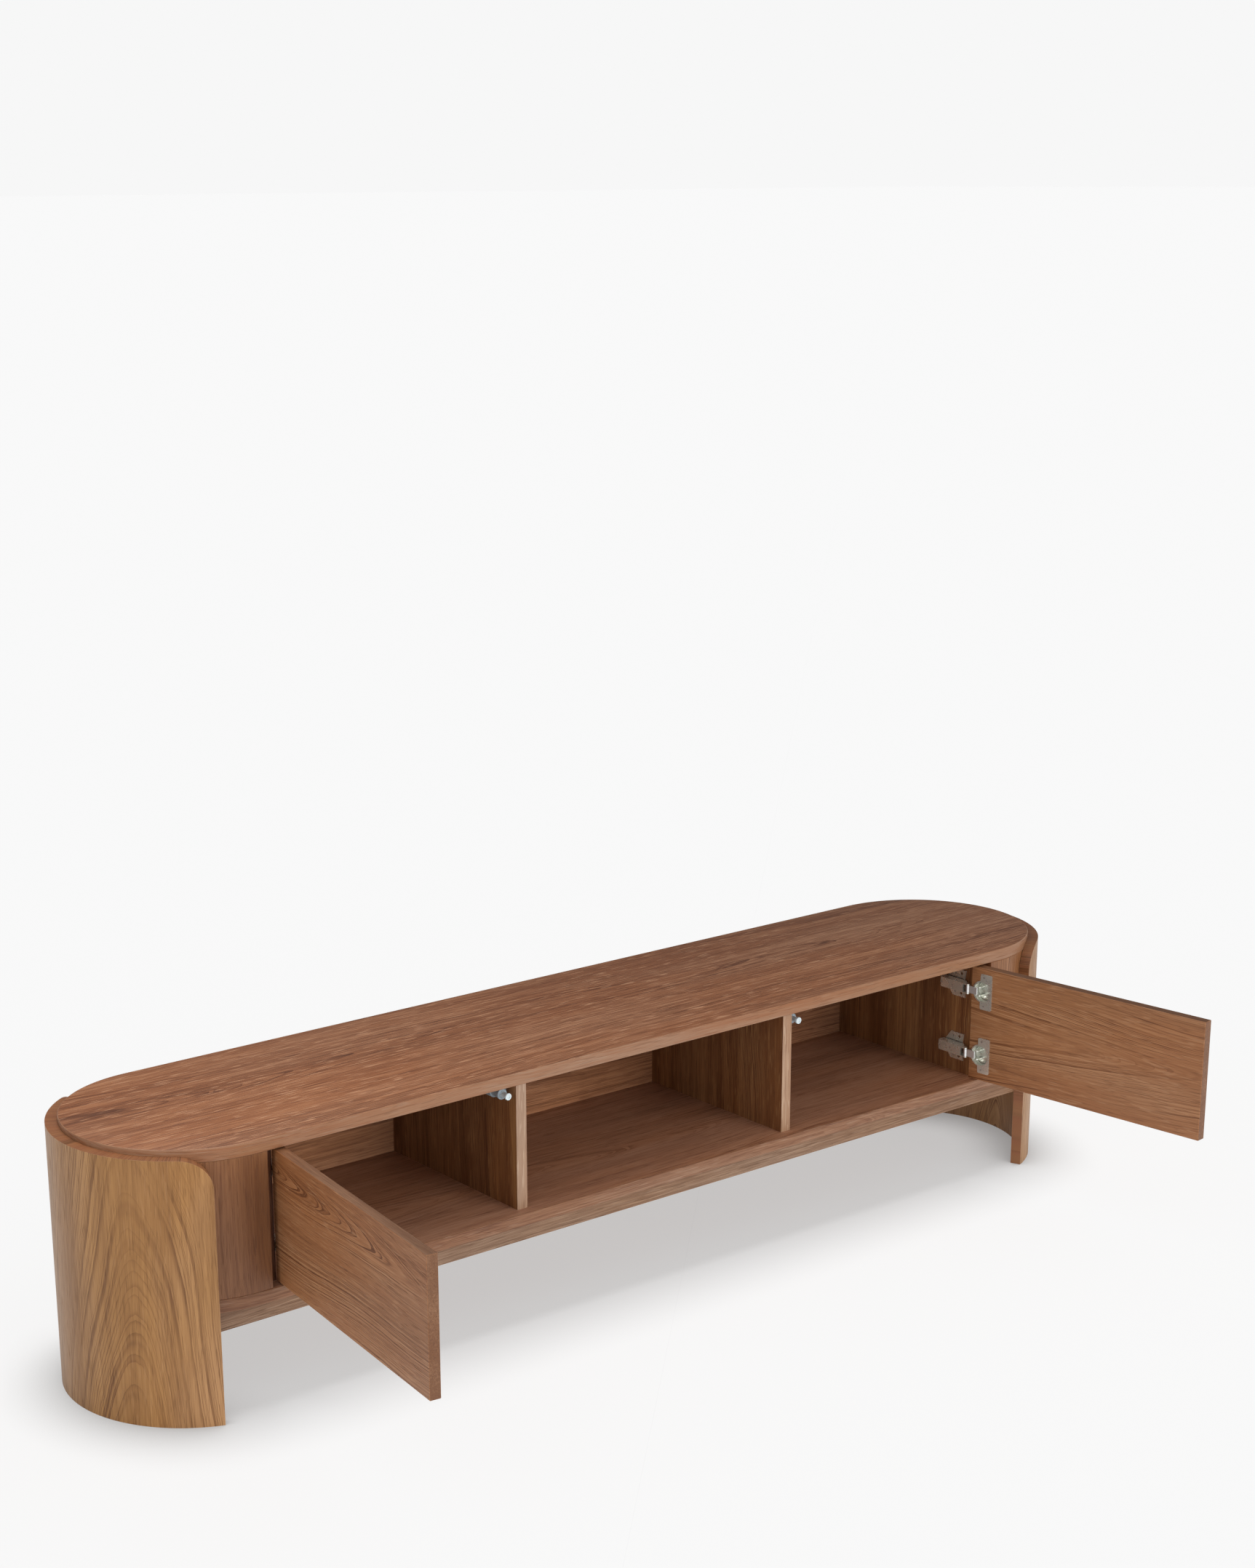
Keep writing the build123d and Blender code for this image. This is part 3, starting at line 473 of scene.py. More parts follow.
# ---------------------------------------------------------------- finishes
@dataclass(frozen=True)
class Veneer:
    """A face of wood: its three colours, the way it was cut and how its surface is oiled."""

    name: str
    grain: Grain
    dark: Triple
    middle: Triple
    light: Triple
    seed: float = 0.0
    rings: float = 150.0
    slope: float = 0.05
    centre: float = 0.0
    heart: float = 0.03
    ring_strength: float = 0.45
    streak_strength: float = 0.7
    fibre_strength: float = 0.7
    pore_strength: float = 0.45
    fleck_strength: float = 0.35
    warm: Triple = (1.0, 0.91, 0.80)
    turn: float = 0.0
    banding: "Banding | None" = None
    tone_ends: tuple[float, float] = (0.12, 0.88)
    pore_depth: float = 0.55
    worn: Triple = (0.62, 0.45, 0.33)
    worn_share: float = 0.45
    worn_strength: float = 0.55
    roughness: float = 0.42
    specular: float = 0.42
    bump_strength: float = 0.35
    bump_distance: float = 0.0004

    def on(self, side: Side, step: float = 1.0, **changes: object) -> "Veneer":
        """Gives the same veneer from another sheet, for a board on one side.

        Args:
            side: The side.
            step: How far the seed moves from the middle.
            changes: Other fields to change.

        Returns:
            The side's own veneer.
        """
        seed = self.seed + step * side.value
        return replace(self, name=f"{side.word}_{self.name}", seed=seed, **changes)

    def place(self, tree: Tree) -> Socket:
        """Gives the grain's own coordinates.

        Args:
            tree: The material's tree.

        Returns:
            A vector of along, across and through, in metres.
        """
        coordinates = tree.add("TexCoord")
        if self.grain is Grain.ON_SURFACE:
            return coordinates.outputs["UV"]
        turned = tree.add("Mapping")
        turned.inputs["Rotation"].default_value = (0.0, 0.0, self.turn)
        tree.put(turned.inputs["Vector"], coordinates.outputs["Object"])
        split, joined = tree.add("SeparateXYZ"), tree.add("CombineXYZ")
        tree.put(split.inputs[0], turned.outputs[0])
        for socket, letter in zip(joined.inputs, self.grain.value):
            tree.put(socket, split.outputs["XYZ".index(letter)])
        return joined.outputs[0]

    def colour(self, tree: Tree, place: object, groups: Groups) -> tuple[Socket, ...]:
        """Adds the figure and colours it.

        Args:
            tree: The material's tree.
            place: The grain's coordinates.
            groups: The shared node groups.

        Returns:
            The colour, tone, pores and height outputs.
        """
        figure = tree.add("Group", node_tree=groups["wood_figure"])
        tree.put(figure.inputs["Vector"], place)
        values = {
            "Seed": self.seed,
            "Rings": self.rings,
            "Slope": self.slope,
            "Centre": self.centre,
            "Heart": self.heart,
            "Ring strength": self.ring_strength,
            "Streak strength": self.streak_strength,
            "Fibre strength": self.fibre_strength,
        }
        for name, value in values.items():
            figure.inputs[name].default_value = value
        ramp = tree.add("ValToRGB")
        stops = ramp.color_ramp.elements
        for stop, end, colour in zip(stops, self.tone_ends, (self.dark, self.light)):
            stop.position, stop.color = end, rgba(colour)
        stops.new(0.5).color = rgba(self.middle)
        tree.put(ramp.inputs[0], figure.outputs["Tone"])
        base = tree.mixed(figure.outputs["Warmth"], ramp.outputs[0], self.warm, "MULTIPLY")
        deep = tree.mixed(self.pore_depth, base, self.dark, "MULTIPLY")
        pores = tree.math("MULTIPLY", figure.outputs["Pores"], self.pore_strength)
        flecks = tree.math("MULTIPLY", figure.outputs["Flecks"], self.fleck_strength)
        flecked = tree.mixed(flecks, tree.mixed(pores, base, deep), self.light)
        return flecked, figure.outputs["Tone"], figure.outputs["Pores"], figure.outputs["Height"]

    def material(self, groups: Groups) -> bpy.types.Material:
        """Builds the material.

        Args:
            groups: The shared node groups.

        Returns:
            The new material.
        """
        made, tree, shader = new_material(self.name)
        place = self.place(tree)
        colour, tone, pores, height = self.colour(tree, place, groups)
        if self.banding is not None:
            colour = self.banding.over(tree, colour, groups)
        pale = tree.mixed(self.worn_share, colour, self.worn)
        wear = tree.wear(groups["worn_edges"], place, EASED_EDGE, self.worn_strength)
        tree.put(shader.inputs["Base Color"], tree.mixed(wear, colour, pale))
        oiled = tree.ranged(tone, 0.0, 1.0, self.roughness + 0.07, self.roughness - 0.05)
        tree.put(shader.inputs["Roughness"], tree.plus(oiled, pores, 0.15))
        tree.bump(shader, height, self.bump_strength, self.bump_distance)
        shader.inputs["Specular IOR Level"].default_value = self.specular
        return made


@dataclass(frozen=True)
class Banding:
    """Strips of another veneer on the faces that look along some directions of a board."""

    directions: tuple[Triple, ...]
    dark: Triple
    light: Triple
    grain: Grain
    turn: float = 0.0
    seed: float = 4.0
    facing: tuple[float, float] = (0.75, 0.85)

    def over(self, tree: Tree, colour: object, groups: Groups) -> Socket:
        """Lays the strips over a board's colour.

        Args:
            tree: The material's tree.
            colour: The board's colour.
            groups: The shared node groups.

        Returns:
            The colour with the strips in place.
        """
        normal = tree.add("TexCoord").outputs["Normal"]
        mask: object = 0.0
        for direction in self.directions:
            dot = tree.add("VectorMath", operation="DOT_PRODUCT")
            tree.put(dot.inputs[0], normal)
            dot.inputs[1].default_value = direction
            mask = tree.math("MAXIMUM", mask, tree.math("ABSOLUTE", dot.outputs["Value"]))
        strip = Veneer(
            "strip", self.grain, self.dark, self.dark, self.light, seed=self.seed, turn=self.turn,
            rings=260.0, slope=0.01, ring_strength=0.35,
        )
        over, *_ = strip.colour(tree, strip.place(tree), groups)
        return tree.mixed(tree.ranged(mask, *self.facing, 0.0, 1.0), colour, over)


@dataclass(frozen=True)
class Metal:
    """A plated metal with fine scratches, pale edges that are partly wear and partly a painted
    highlight, and painted shade in its crevices.
    """

    name: str
    base: Triple
    shadow: Triple
    roughness: float = 0.24
    metallic: float = 0.82
    # Painted highlight, partly edge wear too: the pale colour that sharp edges turn, how far it reaches
    # and how strongly.
    rubbed: Triple = (1.0, 1.0, 0.97)
    rubbed_reach: float = 0.0011
    rubbed_strength: float = 0.9
    # Painted shade: the dark colour that crevices and holes turn, and how far from them it reaches.
    recess: Triple = (0.10, 0.09, 0.07)
    recess_reach: float = 0.004
    scratch_stretch: Triple = (90.0, 90.0, 1600.0)
    bump_strength: float = 0.06
    bump_distance: float = 0.0001

    def material(self, groups: Groups) -> bpy.types.Material:
        """Builds the material.

        Args:
            groups: The shared node groups.

        Returns:
            The new material.
        """
        made, tree, shader = new_material(self.name)
        place = tree.add("TexCoord").outputs["Object"]
        cloud = tree.noise(place, 75.0, 2.0)
        scratch = tree.noise(tree.scaled(place, self.scratch_stretch), 1.0, 2.0)
        toned = tree.mixed(tree.ranged(cloud, 0.3, 0.7, 0.0, 0.28), self.base, self.shadow)
        # Painted shade: the colour darkens in crevices and holes, where the occlusion finds them.
        near = tree.add("AmbientOcclusion", samples=8)
        near.inputs["Distance"].default_value = self.recess_reach
        crevice_shaded = tree.mixed(tree.ranged(near.outputs["AO"], 0.35, 0.80, 0.85, 0.0), toned, self.recess)
        # Painted highlight, partly edge wear too: sharp edges turn pale and bright.
        wear = tree.wear(groups["worn_edges"], place, self.rubbed_reach, self.rubbed_strength)
        tree.put(shader.inputs["Base Color"], tree.mixed(wear, crevice_shaded, self.rubbed))
        shader.inputs["Metallic"].default_value = self.metallic
        clouded = tree.ranged(cloud, 0.25, 0.75, self.roughness - 0.06, self.roughness + 0.08)
        tree.put(shader.inputs["Roughness"], tree.plus(clouded, scratch, 0.06))
        tree.bump(shader, scratch, self.bump_strength, self.bump_distance)
        return made


@dataclass(frozen=True)
class Moulded:
    """A moulded plastic with a faint texture."""

    name: str
    base: Triple
    light: Triple
    roughness: float = 0.38
    rubbed_reach: float = 0.0005
    rubbed_strength: float = 0.5
    bump_strength: float = 0.15
    bump_distance: float = 0.0001

    def material(self, groups: Groups) -> bpy.types.Material:
        """Builds the material.

        Args:
            groups: The shared node groups.

        Returns:
            The new material.
        """
        made, tree, shader = new_material(self.name)
        place = tree.add("TexCoord").outputs["Object"]
        cloud, pitted = tree.noise(place, 90.0, 2.0), tree.noise(place, 1400.0, 2.0)
        toned = tree.mixed(tree.ranged(cloud, 0.3, 0.7, 0.0, 0.35), self.base, self.light)
        wear = tree.wear(groups["worn_edges"], place, self.rubbed_reach, self.rubbed_strength)
        tree.put(shader.inputs["Base Color"], tree.mixed(wear, toned, self.light))
        clouded = tree.ranged(cloud, 0.2, 0.8, self.roughness - 0.06, self.roughness + 0.08)
        tree.put(shader.inputs["Roughness"], clouded)
        tree.bump(shader, pitted, self.bump_strength, self.bump_distance)
        return made


# Colours shared by the finishes.
WALNUT_DARK: Triple = (0.090, 0.029, 0.012)
WALNUT: Triple = (0.235, 0.092, 0.040)
WALNUT_LIGHT: Triple = (0.400, 0.200, 0.108)
GOLD_DARK: Triple = (0.135, 0.054, 0.018)
GOLD: Triple = (0.265, 0.130, 0.050)
GOLD_LIGHT: Triple = (0.440, 0.240, 0.105)
EDGE_DARK: Triple = (0.300, 0.185, 0.120)
EDGE_LIGHT: Triple = (0.560, 0.420, 0.310)
DOOR_EDGE_DARK: Triple = (0.150, 0.064, 0.028)
DOOR_EDGE_LIGHT: Triple = (0.245, 0.122, 0.062)


class Finishes:
    """Every material of the console, built once."""

    def __init__(self) -> None:
        """Builds the shared groups; each material is built the first time it is asked for."""
        self.groups = {"wood_figure": WoodFigure().build(), "worn_edges": worn_edges()}
        self.made: dict[str, bpy.types.Material] = {}

    def get(self, finish: "Veneer | Metal | Moulded") -> bpy.types.Material:
        """Gives a finish's material, building it the first time.

        Args:
            finish: The finish.

        Returns:
            Its material.
        """
        if finish.name not in self.made:
            self.made[finish.name] = finish.material(self.groups)
        return self.made[finish.name]


# ---------------------------------------------------------------- meshes
def piece_from(name: str, mesh: Mesh, materials: list[bpy.types.Material]) -> bpy.types.Object:
    """Turns a finished bmesh into a smooth-shaded object at the origin.

    Args:
        name: The piece's name.
        mesh: The bmesh, which is freed.
        materials: Its materials, in slot order.

    Returns:
        The new object.
    """
    data = bpy.data.meshes.new(name)
    mesh.to_mesh(data)
    mesh.free()
    data.polygons.foreach_set("use_smooth", [True] * len(data.polygons))
    data.set_sharp_from_angle(angle=SMOOTH_BELOW)
    for material in materials:
        data.materials.append(material)
    made = bpy.data.objects.new(name, data)
    bpy.context.scene.collection.objects.link(made)
    return made


def everything(mesh: Mesh) -> list:
    """All of a bmesh's vertices, edges and faces."""
    return mesh.verts[:] + mesh.edges[:] + mesh.faces[:]


def slice_along_x(mesh: Mesh, places: list[float]) -> None:
    """Cuts a flat sheet across X at each place.

    Args:
        mesh: The sheet.
        places: Where the cuts go.
    """
    for place in places:
        bmesh.ops.bisect_plane(
            mesh, geom=everything(mesh), plane_co=(place, 0.0, 0.0), plane_no=(1.0, 0.0, 0.0)
        )


@dataclass
class SmoothBoard:
    """A board that is built smooth and stands in for its CAD node."""

    node: str
    slot: str
    face: Veneer
    rim: Veneer

    def made_from(self, mesh: Mesh, finishes: Finishes) -> bpy.types.Object:
        """Turns the finished bmesh into the board.

        Args:
            mesh: The bmesh.
            finishes: The materials.

        Returns:
            The board.
        """
        return piece_from(f"{self.node}_board", mesh, [finishes.get(self.face), finishes.get(self.rim)])

    def settle(self, made: bpy.types.Object) -> bpy.types.Object:
        """Puts the board on the carcass, in place of its CAD node.

        Args:
            made: The board.

        Returns:
            The same board.
        """
        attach(made, "carcass")
        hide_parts(self.node)
        return made


@dataclass
class StadiumBoard(SmoothBoard):
    """The top or the bottom: a pill-shaped board with an edge band all round."""

    round_segments: int = 144
    level_above: float = 0.98
    rim_angle: float = 1.0

    def outline(self, mesh: Mesh, radius: float, centre_x: float) -> None:
        """Makes the flat pill shape.

        Args:
            mesh: An empty bmesh.
            radius: Radius of the round ends.
            centre_x: Distance of an end's centre from the middle.
        """
        bmesh.ops.create_circle(mesh, cap_ends=True, segments=self.round_segments, radius=radius)
        bmesh.ops.bisect_plane(
            mesh, geom=everything(mesh), plane_co=(0.0, 0.0, 0.0), plane_no=(1.0, 0.0, 0.0),
            clear_inner=True,
        )
        bmesh.ops.translate(mesh, verts=mesh.verts, vec=(centre_x, 0.0, 0.0))
        inner = [e for e in mesh.edges if all(abs(v.co.x - centre_x) < TOUCHING for v in e.verts)]
        grown = bmesh.ops.extrude_edge_only(mesh, edges=inner)
        verts = [g for g in grown["geom"] if isinstance(g, bmesh.types.BMVert)]
        bmesh.ops.translate(mesh, verts=verts, vec=(-centre_x, 0.0, 0.0))
        bmesh.ops.mirror(mesh, geom=everything(mesh), axis="X", merge_dist=TOUCHING)
        bmesh.ops.remove_doubles(mesh, verts=mesh.verts, dist=TOUCHING)

    def unwrap(self, mesh: Mesh, radius: float, centre_x: float) -> None:
        """Lays the grain along X on the faces and round the rim on the edge band.

        Args:
            mesh: The board, still about its own centre.
            radius: Radius of the round ends.
            centre_x: Distance of an end's centre from the middle.
        """
        layer = mesh.loops.layers.uv.new("Grain")
        for face in mesh.faces:
            flat = abs(face.normal.z) > self.level_above
            face.material_index = 0 if flat else 1
            side = 1.0 if face.calc_center_median().x > 0 else -1.0
            for loop in face.loops:
                place = loop.vert.co
                if flat:
                    loop[layer].uv = (place.x, place.y)
                    continue
                beyond = abs(place.x) - centre_x
                around = min(abs(place.x), centre_x)
                if beyond > 0:
                    around += radius * math.atan2(beyond, -place.y)
                elif place.y > 0:
                    around = centre_x + radius * math.pi - beyond
                loop[layer].uv = (side * around, place.z)

    def build(self, finishes: Finishes) -> bpy.types.Object:
        """Builds the board in place of its CAD node.

        Args:
            finishes: The materials.

        Returns:
            The board.
        """
        low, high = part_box(self.node)
        radius = (high.y - low.y) / 2
        centre_x = high.x - radius
        mesh = bmesh.new()
        self.outline(mesh, radius, centre_x)
        grown = bmesh.ops.extrude_face_region(mesh, geom=mesh.faces[:])
        verts = [g for g in grown["geom"] if isinstance(g, bmesh.types.BMVert)]
        bmesh.ops.translate(mesh, verts=verts, vec=(0.0, 0.0, high.z - low.z))
        bmesh.ops.recalc_face_normals(mesh, faces=mesh.faces)
        rim = [e for e in mesh.edges if e.calc_face_angle(0.0) > self.rim_angle]
        bmesh.ops.bevel(
            mesh, geom=rim, offset=EASED_EDGE, segments=EDGE_SEGMENTS, profile=0.5,
            affect="EDGES", material=-1,
        )
        mesh.normal_update()
        self.unwrap(mesh, radius, centre_x)
        bmesh.ops.translate(mesh, verts=mesh.verts, vec=(0.0, (low.y + high.y) / 2, low.z))
        return self.settle(self.made_from(mesh, finishes))


@dataclass
class BentBoard(SmoothBoard):
    """A board bent round one end: the outer shell or the end wall."""

    side: Side
    half_arc: float
    straight: float = 0.0
    corner_radius: float = 0.0
    glue_gap: float = 0.0002
    wall_thickness: float = 0.016
    slices: int = 96
    corner_segments: int = 14
    eased_above: float = math.radians(50.0)

    def bend(self, mesh: Mesh, radius: float, centre: Vector) -> None:
        """Wraps the flat sheet round the end, with its straight stretches left flat.

        Args:
            mesh: The sheet, whose x is the distance round the end and whose y is the height.
            radius: Radius of the bend.
            centre: Centre of the end at floor level.
        """
        reach = radius * self.half_arc
        for vert in mesh.verts:
            around, height = vert.co.x, vert.co.y
            turned = max(-reach, min(reach, around))
            angle = turned / radius
            back = abs(around) - abs(turned)
            out = radius * math.cos(angle) - back * math.sin(self.half_arc)
            along = radius * math.sin(angle) + math.copysign(back * math.cos(self.half_arc), around)
            vert.co = (centre.x + self.side.value * out, centre.y + along, height)

    def build(self, finishes: Finishes) -> bpy.types.Object:
        """Builds the bent board in place of its CAD node.

        Args:
            finishes: The materials.

        Returns:
            The board.
        """
        low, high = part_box(self.node)
        radius_outer, thickness, centre = self.measure(low, high)
        radius = radius_outer - thickness
        half_width = radius * self.half_arc + self.straight
        half_height, middle = (high.z - low.z) / 2, (high.z + low.z) / 2
        mesh = bmesh.new()
        bmesh.ops.create_grid(mesh, x_segments=1, y_segments=1, size=1.0)
        bmesh.ops.scale(mesh, verts=mesh.verts, vec=(half_width, half_height, 1.0))
        bmesh.ops.translate(mesh, verts=mesh.verts, vec=(0.0, middle, 0.0))
        if self.corner_radius:
            corners = [v for v in mesh.verts if v.co.y > middle]
            bmesh.ops.bevel(
                mesh, geom=corners, offset=self.corner_radius, segments=self.corner_segments,
                profile=0.5, affect="VERTICES", material=-1,
            )
        step = 2 * half_width / self.slices
        slice_along_x(mesh, [-half_width + step * n for n in range(1, self.slices)])
        layer = mesh.loops.layers.uv.new("Grain")
        for face in mesh.faces:
            for loop in face.loops:
                loop[layer].uv = (loop.vert.co.y, loop.vert.co.x)
        self.bend(mesh, radius, centre)
        mesh.normal_update()
        sample = next(iter(mesh.faces))
        outwards = sample.calc_center_median() - centre
        if sample.normal.dot(outwards) < 0:
            bmesh.ops.reverse_faces(mesh, faces=mesh.faces)
        made = self.made_from(mesh, finishes)
        wall = made.modifiers.new("wall", "SOLIDIFY")
        wall.thickness, wall.offset = thickness, 1.0
        wall.use_even_offset = True
        wall.material_offset_rim = 1
        eased = made.modifiers.new("eased", "BEVEL")
        eased.width, eased.segments, eased.limit_method = EASED_EDGE, EDGE_SEGMENTS, "ANGLE"
        eased.angle_limit = self.eased_above
        eased.harden_normals = True
        return self.settle(made)

    def measure(self, low: Vector, high: Vector) -> tuple[float, float, Vector]:
        """Works out the bend from the CAD node's box.

        Args:
            low: Lowest corner.
            high: Highest corner.

        Returns:
            The outer radius, the thickness and the centre of the bend.
        """
        top_low, top_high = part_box("top_panel")
        end_radius = (top_high.y - top_low.y) / 2
        centre_x = self.side.value * (top_high.x - end_radius)
        centre = Vector((centre_x, (top_low.y + top_high.y) / 2, 0.0))
        outer = (high.x if self.side is Side.RIGHT else -low.x) - abs(centre_x)
        if self.corner_radius:
            return outer, outer - end_radius - self.glue_gap, centre
        return outer, self.wall_thickness, centre


# ---------------------------------------------------------------- this console's finishes
TOP_FACE = Veneer(
    "top_veneer", Grain.ON_SURFACE, WALNUT_DARK, WALNUT, WALNUT_LIGHT,
    seed=1.3, rings=120.0, slope=0.045, centre=0.03, heart=0.03, ring_strength=0.42,
    streak_strength=0.85, fibre_strength=0.75, pore_strength=0.50, fleck_strength=0.95,
)
TOP_BAND = Veneer(
    "top_banding", Grain.ON_SURFACE, WALNUT, (0.265, 0.138, 0.078), EDGE_DARK,
    seed=2.2, rings=320.0, slope=0.02, ring_strength=0.3,
)
# Partly painted light: the bay floors' colours are kept lighter to stand in for light that reaches into
# the bays.
BOTTOM_FACE = Veneer(
    "floor_veneer", Grain.ON_SURFACE, WALNUT_DARK, (0.330, 0.158, 0.092), (0.44, 0.25, 0.16),
    seed=5.1, rings=130.0, slope=0.04, centre=-0.05, ring_strength=0.3, fibre_strength=0.5,
)
BOTTOM_BAND = Veneer(
    "bottom_banding", Grain.ON_SURFACE, WALNUT_DARK, (0.205, 0.098, 0.052), EDGE_DARK,
    seed=6.4, rings=320.0, slope=0.02, ring_strength=0.3,
)
SHELL = Veneer(
    "shell_veneer", Grain.ON_SURFACE, GOLD_DARK, GOLD, GOLD_LIGHT,
    seed=3.3, rings=95.0, slope=0.16, heart=0.035, ring_strength=0.50,
    streak_strength=0.6, fibre_strength=0.34, fleck_strength=0.2, warm=(1.0, 0.94, 0.70),
)
SHELL_CUT_EDGE = Veneer(
    "shell_cut_edge", Grain.ON_SURFACE, GOLD_DARK, WALNUT, GOLD, seed=9.1, rings=300.0, slope=0.01
)
END_WALL = Veneer(
    "end_wall_veneer", Grain.ON_SURFACE, WALNUT_DARK, (0.200, 0.086, 0.036), (0.33, 0.165, 0.080),
    seed=7.7, rings=160.0, slope=0.004, centre=0.4, ring_strength=0.4,
    streak_strength=0.8, fibre_strength=0.35, fleck_strength=0.08, warm=(1.0, 0.93, 0.80),
)
DIVIDER = Veneer(
    "divider_veneer", Grain.UPRIGHT_FACING_SIDE, WALNUT_DARK, (0.20, 0.086, 0.034), GOLD_LIGHT,
    seed=11.0, rings=190.0, slope=0.006, centre=0.5, ring_strength=0.45,
    streak_strength=1.0, fibre_strength=0.4,
    banding=Banding((ACROSS_Y,), EDGE_DARK, EDGE_LIGHT, Grain.UPRIGHT_FACING_FRONT),
)
SIDE_WALL = replace(
    DIVIDER, name="side_wall_veneer", seed=14.0,
    banding=Banding((ACROSS_Y,), WALNUT_DARK, WALNUT, Grain.UPRIGHT_FACING_FRONT),
)
BACK = Veneer(
    "back_veneer", Grain.LEVEL_FACING_FRONT, WALNUT_DARK, (0.215, 0.102, 0.054), WALNUT_LIGHT,
    seed=21.0, rings=170.0, slope=0.008, centre=0.1, streak_strength=1.2,
)
RAIL = Veneer(
    "rail_veneer", Grain.LEVEL_FACING_FRONT, (0.115, 0.058, 0.030), (0.195, 0.110, 0.065),
    (0.29, 0.19, 0.125), seed=23.0, rings=260.0, slope=0.01, fibre_strength=1.1,
)
BEECH = Veneer(
    "plain_beech", Grain.UPRIGHT_FACING_SIDE, (0.44, 0.29, 0.16), (0.58, 0.42, 0.26),
    (0.66, 0.50, 0.34), seed=25.0, rings=300.0,
)
DOOR = Veneer(
    "door_veneer", Grain.LEVEL_FACING_FRONT, (0.125, 0.043, 0.014), (0.285, 0.124, 0.052),
    (0.440, 0.235, 0.120), seed=36.0, rings=120.0, slope=0.085, heart=0.014,
    ring_strength=0.58, streak_strength=0.45, fibre_strength=0.38,
)
NICKEL = Metal("nickel_plate", (0.95, 0.96, 0.88), (0.62, 0.64, 0.56), 0.25)
BRIGHT_NICKEL = Metal("bright_nickel", (0.93, 0.94, 0.94), (0.80, 0.80, 0.80), 0.34)
SCREW_STEEL = Metal("screw_steel", (0.92, 0.90, 0.82), (0.70, 0.68, 0.60), 0.26)
LATCH_GREY = Moulded("latch_grey", (0.23, 0.27, 0.30), (0.42, 0.50, 0.55))
LATCH_PALE = Moulded("latch_pale", (0.55, 0.63, 0.66), (0.80, 0.86, 0.88))


# ---------------------------------------------------------------- sub-assemblies
@dataclass
class Assembly:
    """Pieces that are built or finished together."""

    finishes: Finishes
    pieces: list[str] = field(default_factory=list)

    def build(self) -> None:
        """Builds or finishes the pieces."""
        raise NotImplementedError

    def dress(self, node: str, finish: "Veneer | Metal | Moulded") -> None:
        """Replaces all of a CAD node's materials by one finish.

        Args:
            node: The node's name.
            finish: The finish.
        """
        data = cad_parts[node].data
        material = self.finishes.get(finish)
        for slot in range(len(data.materials)):
            data.materials[slot] = material
        if not data.materials:
            data.materials.append(material)
        self.pieces.append(node)


@dataclass
class Carcass(Assembly):
    """The boards that stand still: top, bottom, uprights, rails and bent ends."""

    shell_half_arc: float = math.radians(69.0)
    shell_corner_radius: float = 0.044
    shell_heart: tuple[float, float] = (-0.108, -0.015)
    end_wall_half_arc: float = math.radians(90.0)
    end_wall_return: float = 0.017

    def build(self) -> None:
        """Builds the smooth boards and finishes the flat ones."""
        for board in (
            StadiumBoard("top_panel", "veneered_board", TOP_FACE, TOP_BAND),
            StadiumBoard("bottom_panel", "veneered_board", BOTTOM_FACE, BOTTOM_BAND),
        ):
            self.pieces.append(board.build(self.finishes).name)
        for side, heart in zip(Side, self.shell_heart):
            self.bent_ends(side, heart)
            self.dress(f"{side.word}_divider", DIVIDER.on(side))
            self.dress(f"{side.word}_side_wall", SIDE_WALL.on(side))
        for node, finish in (
            ("back_panel", BACK), ("front_rail", RAIL), ("back_rail", RAIL),
            ("corner_cleats", BEECH), ("wood_dowels", BEECH),
        ):
            self.dress(node, finish)

    def bent_ends(self, side: Side, heart: float) -> None:
        """Builds one end's outer shell and end wall.

        Args:
            side: The end.
            heart: How far the shell's figure is centred from the end, round the bend.
        """
        rim = SHELL_CUT_EDGE.on(side)
        for board in (
            BentBoard(
                f"{side.word}_end_shell", "shell_veneer", SHELL.on(side, centre=heart), rim, side,
                self.shell_half_arc, corner_radius=self.shell_corner_radius,
            ),
            BentBoard(
                f"{side.word}_end_wall", "upright_veneer", END_WALL.on(side), rim, side,
                self.end_wall_half_arc, straight=self.end_wall_return,
            ),
        ):
            self.pieces.append(board.build(self.finishes).name)


@dataclass
class Doors(Assembly):
    """The two doors, which stand open."""

    open_angle: float = math.radians(97.0)
    heart: tuple[float, float] = (0.335, 0.27)

    def along(self, side: Side) -> Triple:
        """The direction that an open door's width runs in, from its hinges outwards."""
        return (side.value * -math.cos(self.open_angle), -math.sin(self.open_angle), 0.0)

    def build(self) -> None:
        """Finishes both doors, whose grain runs along their width."""
        for side, heart in zip(Side, self.heart):
            turn = math.pi - self.open_angle if side is Side.RIGHT else self.open_angle
            band = Banding(
                (self.along(side), ACROSS_Z), DOOR_EDGE_DARK, DOOR_EDGE_LIGHT, Grain.LENGTHWISE,
                turn, seed=31.0,
            )
            finish = DOOR.on(side, 2.0, centre=heart, turn=turn, banding=band)
            self.dress(f"{side.word}_door", finish)


@dataclass
class Hinges(Assembly):
    """The concealed hinges and every screw."""

    def build(self) -> None:
        """Finishes the hinge pieces and the fasteners."""
        plated = {"cup": NICKEL, "link": BRIGHT_NICKEL, "arm": NICKEL, "plate": NICKEL}
        for side in Side:
            for level in ("upper", "lower"):
                for piece, finish in plated.items():
                    self.dress(f"{side.word}_{level}_hinge_{piece}", finish)
        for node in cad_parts:
            if node.endswith("screws"):
                self.dress(node, SCREW_STEEL)


@dataclass
class Latches(Assembly):
    """The push latches on the dividers."""

    def build(self) -> None:
        """Finishes the brackets, tubes and plungers."""
        moulded = {"bracket": LATCH_GREY, "body": LATCH_GREY, "plunger": LATCH_PALE}
        for side in Side:
            for piece, finish in moulded.items():
                self.dress(f"{side.word}_latch_{piece}", finish)


